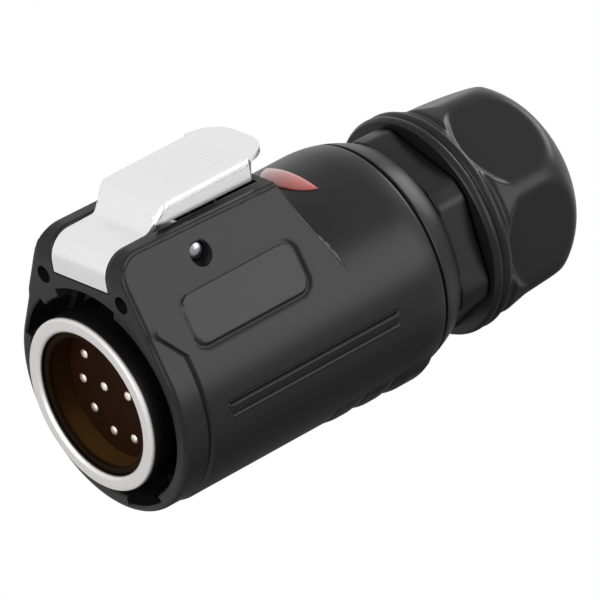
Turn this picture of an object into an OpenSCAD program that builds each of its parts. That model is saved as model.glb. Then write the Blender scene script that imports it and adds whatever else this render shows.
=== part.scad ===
// Circular waterproof cable plug: a latch lever on top, pins in a round insert, a screw gland at the rear.
// The plug's axis is X. The coupling ring's front rim is at X = 0, the cable leaves towards +X and the
// latch is up.

/* [Coupling ring] */
// Outside radius of the coupling ring
ring_r = 12.9; // [12:0.1:13.6]
// Wall of the coupling ring
ring_wall = 2.15; // [1.7:0.05:2.6]
// How far the ring's rim stands ahead of the shell's front face
ring_reach = 2.45; // [1:0.05:4]
// Width of the flange at the ring's rear, beyond its outside
ring_flange_w = 1.7; // [1:0.1:2]
// Thickness of that flange
ring_flange_t = 2; // [1:0.1:3]
// Depth of the relief turned behind the mating length of the ring
ring_relief = 0.15; // [0.05:0.05:0.4]
// Chamfer inside the ring's rim
ring_edge = 0.5; // [0.2:0.1:0.8]

/* [Shell] */
// Wall of the shell around the mating bore
shell_wall = 2.1; // [1.8:0.1:3]
// Length of the shell from its front face to its rear rim
shell_len = 52.25; // [50:0.25:58]
// Radial gap between the ring and the mating bore
mating_gap = 2.2; // [1.8:0.1:2.6]
// Depth of the mating bore, from the front face to the seat of the ring's flange
bore_depth = 14.55; // [13.5:0.05:16]
// How far the barrel behind the front collar stands proud of it
barrel_step = 0.3; // [0.1:0.05:0.5]
// Length of the front collar
collar_len = 4.4; // [3:0.1:6]
// Radius on the front face's outer edge
front_edge_r = 0.75; // [0.3:0.05:1]
// Length of the domed rear end
dome_len = 8.8; // [8:0.1:10]
// Distance of the groove round the domed end from the shell's rear rim
rear_groove_back = 4.4; // [3:0.1:6]
// Width of that groove
rear_groove_w = 0.5; // [0.3:0.1:0.8]
// Depth of that groove
rear_groove_depth = 0.3; // [0.1:0.05:0.5]
// Length of the shell's lip behind the rear insulator
web_lip_t = 1.8; // [1:0.1:3]
// Inward width of that lip
web_lip_w = 0.9; // [0.5:0.1:1.2]
// Radius of the wire chamber
chamber_r = 13.2; // [12.4:0.1:14]

/* [Keyways in the mating bore] */
// Depth of the keyways
key_depth = 1.1; // [0.8:0.1:1.6]
// Length of the keyways along the axis
key_len = 7.4; // [5:0.1:8]
// Angle and half width of each keyway, in degrees from +Y towards +Z
key_places = [[90, 23], [36, 15], [251, 15]];

/* [Latch block] */
// Height of the cheeks' top above the axis
block_top = 23.5; // [23:0.1:25]
// Fall of the cheeks' top towards the rear
block_fall = 0.7; // [0:0.1:1.2]
// Angle of the sloping sides
block_side_deg = 25; // [22:1:28]
// Length of the block's top
block_len = 27.9; // [27.4:0.1:30]
// Run of the block's sloping rear end
block_tail = 3; // [2:0.1:5]
// Radius of the block's front top edge
block_nose_r = 3.9; // [2:0.1:4.2]
// Height at which the block's swept front boundary leaves the collar's rear line
block_sweep_z0 = 9; // [8:0.1:10]
// Height at which that boundary meets the front face
block_sweep_z1 = 14.4; // [13:0.1:16]
// Height at which the slope of the block's rear end bends
block_bend_z = 14.8; // [14:0.1:16]
// Height at which that slope ends in the barrel
block_foot_z = 11.8; // [11:0.1:12.6]
// Half width of the latch channel
channel_w = 6; // [5.5:0.1:6.3]
// Room in the channel behind the latch's folded sides
channel_room = 1.2; // [1:0.1:1.6]
// Height of the channel's floor above the axis
channel_floor = 17.75; // [17.6:0.05:18]
// Radius of the two core holes in the front face
core_hole_r = 1.3; // [0.8:0.1:1.5]
// Depth of the core holes
core_hole_depth = 5; // [2:0.5:8]
// Sideways place of the core holes
core_hole_y = 8.36; // [8.2:0.01:8.6]
// Height of the core holes
core_hole_z = 16.8; // [16:0.1:17.4]

/* [Shell surface] */
// Length of the side plaque
plaque_len = 20; // [14:0.5:21]
// Height of the side plaque along the slope
plaque_h = 7.2; // [5:0.1:7.6]
// Distance of the plaque's front from the shell's front face
plaque_start = 6.7; // [5:0.1:8]
// Distance of the plaque's lower edge up the slope from the side's foot
plaque_rise = 1.9; // [1:0.1:2.4]
// How far the plaque stands proud of the slope
plaque_proud = 0.35; // [0.1:0.05:0.6]
// Corner radius of the plaque
plaque_corner_r = 1.8; // [0.5:0.1:2.4]
// Radius of a side rib
rib_r = 0.4; // [0.2:0.05:0.6]
// Length of the side ribs
rib_len = 30; // [20:0.5:32]
// Distance of the ribs' front from the shell's front face
rib_start = 8.4; // [6:0.1:9]
// Angles of the two ribs on each side, below the horizontal
rib_angles = [-0.6, 4.6];
// Number of finger ridges on the underside
grip_count = 3; // [1:1:3]
// Distance of the first crease from the shell's front face
grip_start = 29.15; // [27:0.05:30]
// Distance of the last finger ridge's end behind the start of the domed rear end
grip_run_out = 1.75; // [1:0.05:2]
// Height of the first finger ridge
grip_h = 0.25; // [0.1:0.05:0.5]
// Growth of the ridges' height from one to the next
grip_growth = 0.2; // [0:0.05:0.3]
// Run of the last ridge into the domed rear end
grip_tail = 1.6; // [0:0.1:2]
// Distance below the axis at which the finger ridges' sides end
grip_side_z = 11.5; // [9:0.1:13]

/* [Front seal and retainer] */
// Thickness of the front seal
seal_t = 1.2; // [0.8:0.1:1.8]
// Thickness of the ring that retains the coupling ring
retainer_t = 2.5; // [1.5:0.1:3]

/* [Insert] */
// Distance of the insert's front edge behind the ring's rim
insert_setback = 0.9; // [0.4:0.1:2]
// Wall of the insert's skirt
skirt_wall = 1; // [0.7:0.1:1.3]
// Distance of the insert's floor behind the ring's rim
insert_floor = 4.75; // [4:0.05:8]
// Bevel between the insert's floor and its wall
insert_bevel = 0.4; // [0.3:0.05:0.8]
// Flange of the insert beyond the ring's inside
insert_flange_w = 1.7; // [1:0.1:2]
// Thickness of the insert's flange
insert_flange_t = 2; // [1.6:0.1:3]
// Thickness of the rear insulator
insulator_t = 3.2; // [2:0.1:4]

/* [Contacts] */
// Number of contacts on the outer circle
outer_count = 10; // [8:1:10]
// Radius of the outer circle
outer_circle_r = 7.1; // [6.6:0.1:7.6]
// Distance of the two middle contacts from the axis
middle_offset = 2.55; // [2:0.05:3.2]
// Radius of a pin
pin_r = 0.9; // [0.5:0.05:0.95]
// How far the pins' ends stand proud of the insert's floor
tip_proud = 0.25; // [0.1:0.05:1.5]
// Chamfer on the pins' ends
tip_edge = 0.15; // [0.05:0.05:0.3]
// Width of a contact's shoulder beyond the pin
shoulder_w = 0.4; // [0.2:0.05:0.5]
// Length of a contact's shoulder
shoulder_t = 1.4; // [0.8:0.1:1.5]
// Radius of a contact's solder cup
cup_r = 1; // [0.8:0.05:1.1]
// Bore of a solder cup
cup_bore_r = 0.7; // [0.4:0.05:0.75]
// Length of a solder cup behind the rear insulator
cup_len = 6; // [5:0.5:8]
// Thickness of the solid foot of a solder cup
cup_foot = 1; // [0.5:0.1:1.5]
// Length of a solder cup that is open on one side
cup_open = 3; // [1:0.1:3.4]

/* [Latch] */
// Pivot's distance behind the shell's front face
pivot_back = 13.2; // [12.8:0.1:13.6]
// Pivot's height above the axis
pivot_z = 19.4; // [19.2:0.1:19.8]
// Radius of the pivot pin
pivot_r = 1.5; // [1:0.05:1.6]
// Wall of the latch's barrel around the pin
barrel_wall = 1.35; // [1:0.05:1.4]
// Depth at which the pin's ends lie in the cheeks
pivot_recess = 0.7; // [0.3:0.1:1.2]
// Chamfer on the pin's ends
pivot_edge = 0.3; // [0.1:0.05:0.4]
// How far the saddle's top lies below the cheeks' top
saddle_drop = 0.25; // [0:0.05:0.6]
// Rise from the saddle's top to the thumb plate's top
plate_rise = 3.75; // [3.4:0.05:4.2]
// Half width of the thumb plate
plate_w = 6.8; // [6.4:0.1:7.1]
// Thickness of the thumb plate and the saddle
latch_t = 1.7; // [1.2:0.1:2]
// Where the rise from the saddle to the plate starts, behind the shell's front face
rise_start = 7.8; // [7.6:0.1:9]
// Length of that rise
rise_len = 4; // [3.6:0.1:6]
// Distance of the plate's rear end behind the shell's front face
plate_end = 31; // [30:0.1:32]
// Distance of the folded sides' rear edge behind the shell's front face
skirt_end = 26.2; // [24:0.1:26.4]
// Gap between the cheeks' top and the folded sides at their front
skirt_front_gap = 1.1; // [0.9:0.1:1.4]
// Gap between the cheeks' top and the folded sides at their rear, which the latch's travel uses
skirt_rear_gap = 0.8; // [0.8:0.1:1.2]
// Thickness of the folded sides
skirt_t = 1.2; // [0.8:0.1:1.6]
// Distance of the folded sides' front corner behind the start of the rise
skirt_start = 1.5; // [1.2:0.1:1.8]
// Bevel of the folded sides' front corner, and the plate's overlap with the rise
skirt_lead = 0.6; // [0.4:0.1:0.8]
// Corner radius of the plate's rear end
plate_corner_r = 5; // [3:0.1:6]
// Height of the grip ridges on the plate
ridge_h = 0.25; // [0.1:0.05:0.4]
// Number of grip ridges
ridge_count = 5; // [3:1:6]
// Distance between grip ridges
ridge_pitch = 2.1; // [1.6:0.1:2.4]
// Length of a grip ridge across the plate
ridge_len = 8.2; // [6:0.1:9]
// Distance of the rearmost grip ridge ahead of the folded sides' rear edge
ridge_lead = 0.8; // [0:0.1:2]
// Radius of the lip's front bend
lip_bend_r = 3.75; // [3:0.05:4]
// Thickness of the lip
lip_t = 1.8; // [1.2:0.1:2]
// Half width of the hook
hook_w = 3.2; // [2:0.1:4]
// Distance of the hook behind the shell's front face
hook_back = 4.4; // [4:0.1:5]
// Thickness of the hook
hook_t = 2.2; // [1.5:0.1:2.4]
// How far the hook reaches into the mating gap
hook_reach = 0.4; // [0.3:0.1:1.1]
// Gap beside the latch in its channel
latch_gap = 0.25; // [0.2:0.05:0.4]

/* [Latch spring] */
// Distance of the spring behind the shell's front face
spring_back = 22; // [20:0.1:22.5]
// Outside radius of the spring
spring_r = 2.2; // [1.6:0.1:2.6]
// Diameter of the spring wire
spring_wire = 0.5; // [0.3:0.05:0.6]
// Turns of the spring
spring_turns = 7; // [5:1:9]
// Depth of the spring's pocket in the channel floor
spring_pocket = 1.5; // [0.5:0.1:2]

/* [Lock indicator] */
// Distance of the indicator's middle behind the shell's front face
indicator_back = 36.25; // [35.5:0.05:38]
// Half length of the indicator, across the shell
indicator_half_l = 5.5; // [4:0.1:6.5]
// Width of the indicator, along the shell
indicator_w = 3.4; // [2.6:0.1:4.4]
// How far the indicator's crown stands proud of the shell
indicator_crown = 0.5; // [0.2:0.05:0.8]
// How far the indicator's edge stands proud of the shell
indicator_edge = 0.1; // [0.05:0.05:0.15]
// Depth of the indicator's seat in the shell
indicator_seat = 1; // [0.6:0.1:1.5]

/* [Gland body] */
// Radius of the gland body's front thread
spigot_r = 12; // [11.6:0.1:12.4]
// Length of the gland body's front thread
spigot_len = 8.2; // [6:0.1:9]
// Distance from the axis to the hexagon's flats
hex_flat = 14; // [13.7:0.1:14.6]
// Distance from the axis to the hexagon's blunted corners
hex_corner = 15.35; // [15:0.05:15.8]
// Length of the hexagon
hex_len = 5; // [4:0.1:7]
// Turn of the hexagon about the axis
hex_turn = 10.5; // [0:0.5:30]
// Radius of the gland body's rear thread
sleeve_r = 12; // [11.6:0.1:12.3]
// Length of the gland body's rear thread
sleeve_len = 10.3; // [9:0.1:12]
// Radius of the way for the wires
wire_way_r = 8; // [7:0.1:8.4]
// Depth of the rubber ring's seat in the shell's rear rim
body_seal_len = 1.3; // [1:0.1:1.6]
// Thickness of that rubber ring
body_seal_t = 0.95; // [0.8:0.05:1.2]

/* [Gland nut] */
// Radius of the nut's front flange
nut_flange_r = 16.55; // [16.2:0.05:17]
// Length of the flange with its two beads
nut_flange_len = 3.3; // [2.8:0.1:5]
// Height of a bead
nut_bead_h = 0.3; // [0.1:0.05:0.5]
// Length of the fillet behind the flange
nut_fillet_len = 2.7; // [1:0.1:3]
// Radius over the nut's ridges behind the fillet
nut_ridge_r = 16.3; // [15.8:0.1:16.4]
// Radius over the nut's ridges at their rear
nut_tail_r = 15.8; // [15.2:0.1:16]
// Distance from the axis to the nut's flats behind the fillet
nut_flat = 14.7; // [14.4:0.1:15]
// Lean of the nut's flats towards the axis at the rear
nut_flat_deg = 3.5; // [2:0.5:8]
// How far the flats run forward into the fillet
nut_flat_lead = 2; // [0.5:0.1:2.4]
// Radius of the flats' bowed front edge
nut_flat_bow = 10; // [9:0.5:16]
// Length of the nut's domed rear end
nut_dome_len = 6; // [4.5:0.1:6.5]
// Fall of the domed end
nut_dome_h = 7.4; // [6.5:0.1:7.8]
// Slope of the dome where it meets the ridges
nut_dome_deg = 42; // [20:1:50]
// Length of the nut
nut_len = 20.4; // [20:0.1:24]
// Gap between the hexagon and the nut when it is tight
nut_gap = 0.3; // [0.2:0.1:1]
// Turn of the nut about the axis
nut_turn = -5; // [-30:1:30]
// Radius of the nut's rear hole
nut_hole_r = 7; // [6.6:0.1:7.4]
// Thickness of the nut's rear wall
nut_end_t = 3.4; // [2.6:0.1:3.6]

/* [Cable clamp] */
// Inside radius of the cable seal
cable_r = 6; // [4:0.1:6.4]
// Wall of the cable seal
cable_seal_wall = 2.2; // [1.5:0.1:2.4]
// Wall of the clamp cage
cage_wall = 1.2; // [0.8:0.1:1.3]
// How far the cage's fingers reach behind the sleeve
finger_len = 5; // [4:0.1:5.6]
// Number of fingers
finger_count = 8; // [6:1:12]
// Width of the slots between fingers
finger_slot = 1; // [0.6:0.1:1.4]
// Length of the thrust ring
thrust_len = 4.6; // [4:0.1:5]
// Widening of the thrust ring's cone
thrust_flare = 1.5; // [1:0.1:1.7]

/* [Clearances] */
// Gap of pieces that are pushed together by hand
slip = 0.05; // [0.03:0.01:0.1]
// Running gap of the latch on its pin
pivot_gap = 0.04; // [0.02:0.01:0.1]
// Gap of a thread that is drawn as a plain cylinder
thread_gap = 0.1; // [0.05:0.05:0.2]
// Gap round the thrust ring
thrust_gap = 0.2; // [0.15:0.05:0.3]

/* [Hidden] */
shell_x0 = ring_reach;
shell_x1 = shell_x0 + shell_len;
collar_x1 = shell_x0 + collar_len;
dome_x = shell_x1 - dome_len;
grip_pitch = (dome_x + grip_run_out - shell_x0 - grip_start) / grip_count;
bore_r = ring_r + mating_gap;
collar_r = bore_r + shell_wall;
barrel_r = collar_r + barrel_step;
seat_x = shell_x0 + bore_depth;
flange_x = seat_x - ring_flange_t;
retainer_x = flange_x - retainer_t;
seal_x = retainer_x - seal_t;
ring_in = ring_r - ring_wall;
insert_r = ring_in - slip;
insert_flange_r = ring_in + insert_flange_w;
insert_x1 = seat_x + insert_flange_t;
shoulder_x = insert_x1 - shoulder_t;
insulator_x1 = insert_x1 + insulator_t;
insulator_r = insert_flange_r - slip;
web_x1 = insulator_x1 + web_lip_t;
thread_x0 = shell_x1 - spigot_len - slip;
spigot_bore_r = spigot_r + thread_gap;
body_seal_r = spigot_r + body_seal_t;

saddle_z = block_top - saddle_drop;
plate_z = saddle_z + plate_rise;
skirt_front_z = block_top + skirt_front_gap;
skirt_rear_z = block_top - block_fall + skirt_rear_gap;
lip_z = channel_floor + latch_gap;
lip_r = min(lip_bend_r, saddle_z - lip_z);
pivot_x = shell_x0 + pivot_back;
latch_barrel_r = pivot_r + barrel_wall;
rise_x0 = shell_x0 + rise_start;
rise_x1 = rise_x0 + rise_len;
hook_x = shell_x0 + hook_back;
skirt_x1 = shell_x0 + skirt_end;
channel_x1 = skirt_x1 + channel_room;
saddle_w = channel_w - latch_gap;
spring_x = shell_x0 + spring_back;
spring_z0 = channel_floor - spring_pocket;
indicator_x = shell_x0 + indicator_back;

hex_x0 = shell_x1;
hex_x1 = hex_x0 + hex_len;
sleeve_x1 = hex_x1 + sleeve_len;
nut_x0 = hex_x1 + nut_gap;
nut_x1 = nut_x0 + nut_len;
cable_seal_r = cable_r + cable_seal_wall;
cage_in = cable_seal_r + slip;
cage_out = cage_in + cage_wall;
cage_x0 = hex_x1 - hex_len / 2;
cage_x1 = sleeve_x1 + finger_len;
thrust_x1 = nut_x1 - nut_end_t;
thrust_x0 = thrust_x1 - thrust_len;
nut_bore_r = sleeve_r + thread_gap;

contact_count = outer_count + 2;
contact_places = concat(
    [for (i = [0 : outer_count - 1]) let (a = 360 * i / outer_count) outer_circle_r * [cos(a), sin(a)]],
    [[middle_offset, 0], [-middle_offset, 0]]
);
function contact_name(i) = str("contact_", i < 10 ? "0" : "", i);

// Amount by which a cutting shape passes the face that it cuts
past = 1;

// Points of an arc about [cx, cy], from angle a0 to angle a1
function arc(cx, cy, r, a0, a1, steps = 12) =
    [for (i = [0 : steps]) let (a = a0 + (a1 - a0) * i / steps) [cx + r * cos(a), cy + r * sin(a)]];

// Solid turned about X from an outline of [radius, x] points
module turned(outline) {
    rotate([0, 90, 0])
        rotate_extrude($fn = 96)
            polygon(outline);
}

module x_cylinder(r, x0, x1) {
    translate([x0, 0, 0])
        rotate([0, 90, 0])
            cylinder(r = r, h = x1 - x0, $fn = 96);
}

module x_tube(r_out, r_in, x0, x1) {
    difference() {
        x_cylinder(r_out, x0, x1);
        x_cylinder(r_in, x0 - past, x1 + past);
    }
}

// Outline of [y, z] points carried along X
module along_x(outline, x0, x1) {
    translate([x0, 0, 0])
        rotate([90, 0, 90])
            linear_extrude(x1 - x0)
                polygon(outline);
}

// Outline of [x, z] points carried across Y
module across_y(outline, y0, y1) {
    translate([0, y1, 0])
        rotate([90, 0, 0])
            linear_extrude(y1 - y0)
                polygon(outline);
}

module y_cylinder(r, x, z, y0, y1) {
    translate([x, y1, z])
        rotate([90, 0, 0])
            cylinder(r = r, h = y1 - y0, $fn = 64);
}

// Box between two corners
module box(low, high) {
    translate(low)
        cube(high - low);
}

// Radius of the domed rear end at x
function dome_r(x) = sqrt(barrel_r * barrel_r - (x - dome_x) * (x - dome_x));

// Barrel of the shell: front collar, step, plain length and domed rear end
module shell_barrel() {
    dome_deg = acos(dome_r(shell_x1) / barrel_r);
    turned(concat(
        [[0, shell_x0]],
        arc(collar_r - front_edge_r, shell_x0 + front_edge_r, front_edge_r, -90, 0, 6),
        [[collar_r, collar_x1 - barrel_step], [collar_r - barrel_step, collar_x1]],
        [[barrel_r, collar_x1 + barrel_step]],
        [for (p = arc(0, 0, barrel_r, 0, dome_deg, 16)) [p[0], dome_x + p[1]]],
        [[0, shell_x1]]
    ));
}

// Outline of the latch block across the axis, with its sloping sides tangent to foot_r
function block_outline(foot_r) =
    let (
        foot_y = foot_r * cos(block_side_deg),
        foot_z = foot_r * sin(block_side_deg),
        top_y = foot_y - (block_top - foot_z) * tan(block_side_deg)
    )
    [[-foot_y, 0], [foot_y, 0], [foot_y, foot_z], [top_y, block_top],
     [-top_y, block_top], [-foot_y, foot_z]];

// Part of the block's side outline from its nose over the top to its tail
function block_back() =
    let (
        rear_x = shell_x0 + block_len,
        tail_x = rear_x + 2 * block_tail
    )
    concat(
        arc(shell_x0 + block_nose_r, block_top - block_nose_r, block_nose_r, 180, 90),
        [[rear_x, block_top - block_fall], [rear_x + block_tail, block_bend_z]],
        [[tail_x, block_foot_z], [tail_x, 0]]
    );

// Block with the two cheeks: flush with the collar ahead of its swept boundary, with the barrel behind it
module latch_block() {
    sweep = [[collar_x1, 0], [collar_x1, block_sweep_z0], [shell_x0, block_sweep_z1]];
    intersection() {
        along_x(block_outline(collar_r), shell_x0, dome_x);
        across_y(concat([[shell_x0, 0]], block_back()), -barrel_r, barrel_r);
    }
    intersection() {
        along_x(block_outline(barrel_r), shell_x0, dome_x);
        across_y(concat(sweep, block_back()), -barrel_r, barrel_r);
    }
}

// Two half-round ribs along each side of the barrel
module side_ribs() {
    x0 = shell_x0 + rib_start;
    for (side = [-1, 1])
        for (angle = rib_angles)
            translate([0, side * barrel_r * cos(angle), -barrel_r * sin(angle)])
                x_cylinder(rib_r, x0, x0 + rib_len);
}

// Rounded rectangle that stands proud of each sloping side
module plaques() {
    x0 = shell_x0 + plaque_start;
    corners = [
        for (cx = [plaque_corner_r, plaque_len - plaque_corner_r])
            for (cy = [plaque_corner_r, plaque_h - plaque_corner_r]) [cx, cy]
    ];
    for (side = [0, 1])
        mirror([0, side, 0])
            rotate([-block_side_deg, 0, 0])
                translate([x0, past - barrel_r, plaque_rise])
                    rotate([90, 0, 0])
                        linear_extrude(plaque_proud + past)
                            union() {
                                translate([plaque_corner_r, 0])
                                    square([plaque_len - 2 * plaque_corner_r, plaque_h]);
                                translate([0, plaque_corner_r])
                                    square([plaque_len, plaque_h - 2 * plaque_corner_r]);
                                for (c = corners)
                                    translate(c)
                                        circle(r = plaque_corner_r, $fn = 32);
                            }
}

// Shingled ridges for the finger on the underside of the barrel, each rising behind its crease
module finger_ridges() {
    reach = barrel_r + past;
    root_r = barrel_r - past;
    for (i = [0 : grip_count - 1]) {
        x0 = shell_x0 + grip_start + i * grip_pitch;
        tail = i == grip_count - 1 ? grip_tail : 0;
        x1 = x0 + grip_pitch + tail;
        crest_r = barrel_r + grip_h + i * grip_growth;
        intersection() {
            turned([
                [root_r, x0], [barrel_r, x0], [crest_r, x0 + grip_pitch / 3],
                [crest_r, x0 + grip_pitch * 2 / 3 + tail],
                [dome_r(max(x1, dome_x)) - grip_h, x1], [root_r, x1]
            ]);
            box([shell_x0, -reach, -reach], [shell_x1, reach, -grip_side_z]);
        }
    }
}

// Groove round the domed rear end
module rear_groove_cut() {
    x = shell_x1 - rear_groove_back;
    x_tube(barrel_r + past, dome_r(x) - rear_groove_depth, x - rear_groove_w / 2, x + rear_groove_w / 2);
}

// Keyways along the mating bore
module keyway_cut() {
    reach = bore_r + key_depth;
    wedge = reach + past;
    for (key = key_places)
        intersection() {
            x_cylinder(reach, shell_x0 - past, shell_x0 + key_len);
            rotate([key[0], 0, 0])
                along_x([[0, 0], wedge * [1, tan(key[1])], wedge * [1, -tan(key[1])]],
                        shell_x0 - past, shell_x0 + key_len);
        }
}

// Channel for the latch, with the trough for its barrel, the hook's slot and the spring's pocket
module channel_cut() {
    sky = plate_z + past;
    box([shell_x0 - past, -channel_w, channel_floor], [channel_x1, channel_w, sky]);
    y_cylinder(latch_barrel_r + latch_gap, pivot_x, pivot_z, -channel_w, channel_w);
    slot_w = hook_w + latch_gap;
    box([hook_x - 2 * latch_gap, -slot_w, 0], [hook_x + hook_t + 2 * latch_gap, slot_w, sky]);
    translate([spring_x, 0, spring_z0])
        cylinder(r = spring_r + 2 * latch_gap, h = sky, $fn = 48);
}

// Half length of the latch pin, from the sloping cheeks' width at the pivot
pin_half = (barrel_r - pivot_z * sin(block_side_deg)) / cos(block_side_deg) - pivot_recess;

// Holes for the latch pin through both cheeks, wider outside the pin's ends
module pivot_cut() {
    y_cylinder(pivot_r, pivot_x, pivot_z, -barrel_r, barrel_r);
    for (side = [0, 1])
        mirror([0, side, 0])
            y_cylinder(pivot_r + latch_gap, pivot_x, pivot_z, pin_half - slip, barrel_r);
}

// Form of the lock indicator from above, standing along Z: a bowed front edge and a straight rear edge
module indicator_form(grow) {
    half_l = indicator_half_l + grow;
    wide = indicator_w + 2 * grow;
    bow_r = (half_l * half_l + wide * wide) / (2 * wide);
    rear_x = indicator_x + wide / 2;
    intersection() {
        translate([rear_x - wide + bow_r, 0, 0])
            cylinder(r = bow_r, h = 2 * barrel_r, $fn = 96);
        box([rear_x - wide - past, -half_l, 0], [rear_x, half_l, 2 * barrel_r]);
    }
}

module shell() {
    color([0.16, 0.16, 0.17])
        difference() {
            union() {
                shell_barrel();
                latch_block();
                side_ribs();
                plaques();
                finger_ridges();
            }
            // Mating bore, the seats behind it, the wire chamber and the gland's thread
            turned([
                [0, shell_x0 - past], [bore_r, shell_x0 - past], [bore_r, seat_x],
                [insert_flange_r + slip, seat_x], [insert_flange_r + slip, insulator_x1],
                [insulator_r - web_lip_w, insulator_x1], [insulator_r - web_lip_w, web_x1],
                [chamber_r, web_x1], [chamber_r, thread_x0 - slip], [spigot_bore_r, thread_x0 - slip],
                [spigot_bore_r, shell_x1 - body_seal_len], [body_seal_r + slip, shell_x1 - body_seal_len],
                [body_seal_r + slip, shell_x1 + past], [0, shell_x1 + past]
            ]);
            keyway_cut();
            channel_cut();
            pivot_cut();
            rear_groove_cut();
            for (side = [-1, 1])
                translate([0, side * core_hole_y, core_hole_z])
                    x_cylinder(core_hole_r, shell_x0 - past, shell_x0 + core_hole_depth);
            intersection() {
                indicator_form(slip);
                x_tube(barrel_r + past, barrel_r - indicator_seat, shell_x0, shell_x1);
            }
        }
}

// Side outline of the lip, the saddle and the rise to the thumb plate
function latch_arm_outline() =
    let (
        x0 = shell_x0,
        bend_x = x0 + lip_r,
        bend_z = saddle_z - lip_r,
        steps = 12,
        inner_r = lip_r - lip_t,
        lift = [for (i = [0 : steps]) plate_rise * (1 - cos(180 * i / steps)) / 2]
    )
    concat(
        [[x0, lip_z]],
        arc(bend_x, bend_z, lip_r, 180, 90),
        [for (i = [0 : steps]) [rise_x0 + rise_len * i / steps, saddle_z + lift[i]]],
        [for (i = [steps : -1 : 0])
            [rise_x0 + rise_len * i / steps + latch_t / 2, saddle_z - latch_t + lift[i]]],
        arc(bend_x, bend_z, inner_r, 90, 180),
        [[x0 + lip_t, lip_z]]
    );

// Outline of the thumb plate from above, with its rounded rear corners
module plate_outline(x0) {
    x1 = shell_x0 + plate_end;
    r = plate_corner_r;
    polygon(concat(
        [[x0, -plate_w]],
        arc(x1 - r, r - plate_w, r, -90, 0),
        arc(x1 - r, plate_w - r, r, 0, 90),
        [[x0, plate_w]]
    ));
}

module latch() {
    under_z = plate_z - latch_t;
    mid_z = plate_z - latch_t / 2;
    skirt_x0 = rise_x0 + skirt_start;
    plate_x0 = rise_x1 - skirt_lead;
    skirt = [[skirt_x0, skirt_front_z], [skirt_x1, skirt_rear_z], [skirt_x1, mid_z], [plate_x0, mid_z],
             [skirt_x0 + skirt_lead, skirt_front_z + skirt_lead]];
    color([0.86, 0.86, 0.87])
        difference() {
            union() {
                across_y(latch_arm_outline(), -saddle_w, saddle_w);
                translate([0, 0, under_z])
                    linear_extrude(latch_t)
                        plate_outline(plate_x0);
                for (side = [0, 1])
                    mirror([0, side, 0])
                        across_y(skirt, plate_w - skirt_t, plate_w);
                // Barrel on the pin, and the web that carries it
                y_cylinder(latch_barrel_r, pivot_x, pivot_z, -saddle_w, saddle_w);
                box([pivot_x - pivot_r, -saddle_w, pivot_z], [pivot_x + pivot_r, saddle_w, mid_z]);
                // Hook that reaches through the roof into the mating gap
                box([hook_x, -hook_w, bore_r - hook_reach],
                    [hook_x + hook_t, hook_w, saddle_z - latch_t / 2]);
                // Grip ridges across the plate
                for (i = [0 : ridge_count - 1])
                    translate([skirt_x1 - ridge_lead - i * ridge_pitch, 0, plate_z])
                        rotate([90, 0, 0])
                            cylinder(r = ridge_h, h = ridge_len, center = true, $fn = 24);
            }
            y_cylinder(pivot_r + pivot_gap, pivot_x, pivot_z, -barrel_r, barrel_r);
        }
}

module latch_pin() {
    end_r = pivot_r - pivot_edge;
    color([0.78, 0.78, 0.8])
        translate([pivot_x, 0, pivot_z])
            rotate([90, 0, 0])
                rotate_extrude($fn = 48)
                    polygon([
                        [0, -pin_half], [end_r, -pin_half], [pivot_r, pivot_edge - pin_half],
                        [pivot_r, pin_half - pivot_edge], [end_r, pin_half], [0, pin_half]
                    ]);
}

// Round wire swept along a helix whose two end turns lie flat
module latch_spring() {
    sides = 8;
    per_turn = 16;
    rings = spring_turns * per_turn;
    wire_r = spring_wire / 2;
    coil_r = spring_r - wire_r;
    low = spring_z0 + wire_r;
    high = plate_z - latch_t - wire_r;
    flat_turns = 1;
    pitch_turns = spring_turns - 2 * flat_turns;
    function lift(t) = low + spring_wire * min(t, flat_turns)
        + spring_wire * max(0, t - spring_turns + flat_turns)
        + (high - low - 2 * flat_turns * spring_wire) * min(1, max(0, (t - flat_turns) / pitch_turns));
    points = [
        for (i = [0 : rings])
            for (j = [0 : sides - 1])
                let (turn = 360 * i / per_turn, a = 360 * j / sides, r = coil_r + wire_r * cos(a))
                    [spring_x + r * cos(turn), r * sin(turn), lift(i / per_turn) + wire_r * sin(a)]
    ];
    walls = [
        for (i = [0 : rings - 1])
            for (j = [0 : sides - 1])
                let (k = (j + 1) % sides)
                    [i * sides + j, i * sides + k, (i + 1) * sides + k, (i + 1) * sides + j]
    ];
    caps = [[for (j = [sides - 1 : -1 : 0]) j], [for (j = [0 : sides - 1]) rings * sides + j]];
    color([0.72, 0.73, 0.75])
        polyhedron(points, concat(walls, caps));
}

module lock_indicator() {
    crown_r = barrel_r + indicator_crown;
    edge_r = barrel_r + indicator_edge;
    bow = indicator_w / 2 + indicator_crown;
    seat_r = barrel_r - indicator_seat;
    steps = 6;
    dome = [
        for (i = [-steps : steps])
            [edge_r + (crown_r - edge_r) * cos(90 * i / steps), indicator_x + bow * i / steps]
    ];
    color([0.78, 0.22, 0.2])
        intersection() {
            indicator_form(0);
            turned(concat([[seat_r, indicator_x - bow]], dome, [[seat_r, indicator_x + bow]]));
        }
}

module coupling_ring() {
    flange_r = ring_r + ring_flange_w;
    color([0.8, 0.79, 0.77])
        turned([
            [ring_in + ring_edge, 0], [ring_r, 0], [ring_r, seal_x], [ring_r - ring_relief, seal_x],
            [ring_r - ring_relief, flange_x], [flange_r, flange_x], [flange_r, seat_x],
            [ring_in, seat_x], [ring_in, ring_edge]
        ]);
}

module front_seal() {
    color([0.1, 0.1, 0.1])
        x_tube(bore_r - slip, ring_r + slip, seal_x, retainer_x);
}

module ring_retainer() {
    color([0.35, 0.35, 0.37])
        x_tube(bore_r - slip, ring_r + slip, retainer_x, flange_x);
}

// Children once at each contact's place, in the plane across the axis
module at_contacts() {
    for (p = contact_places)
        translate([0, p[0], p[1]])
            children();
}

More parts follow.
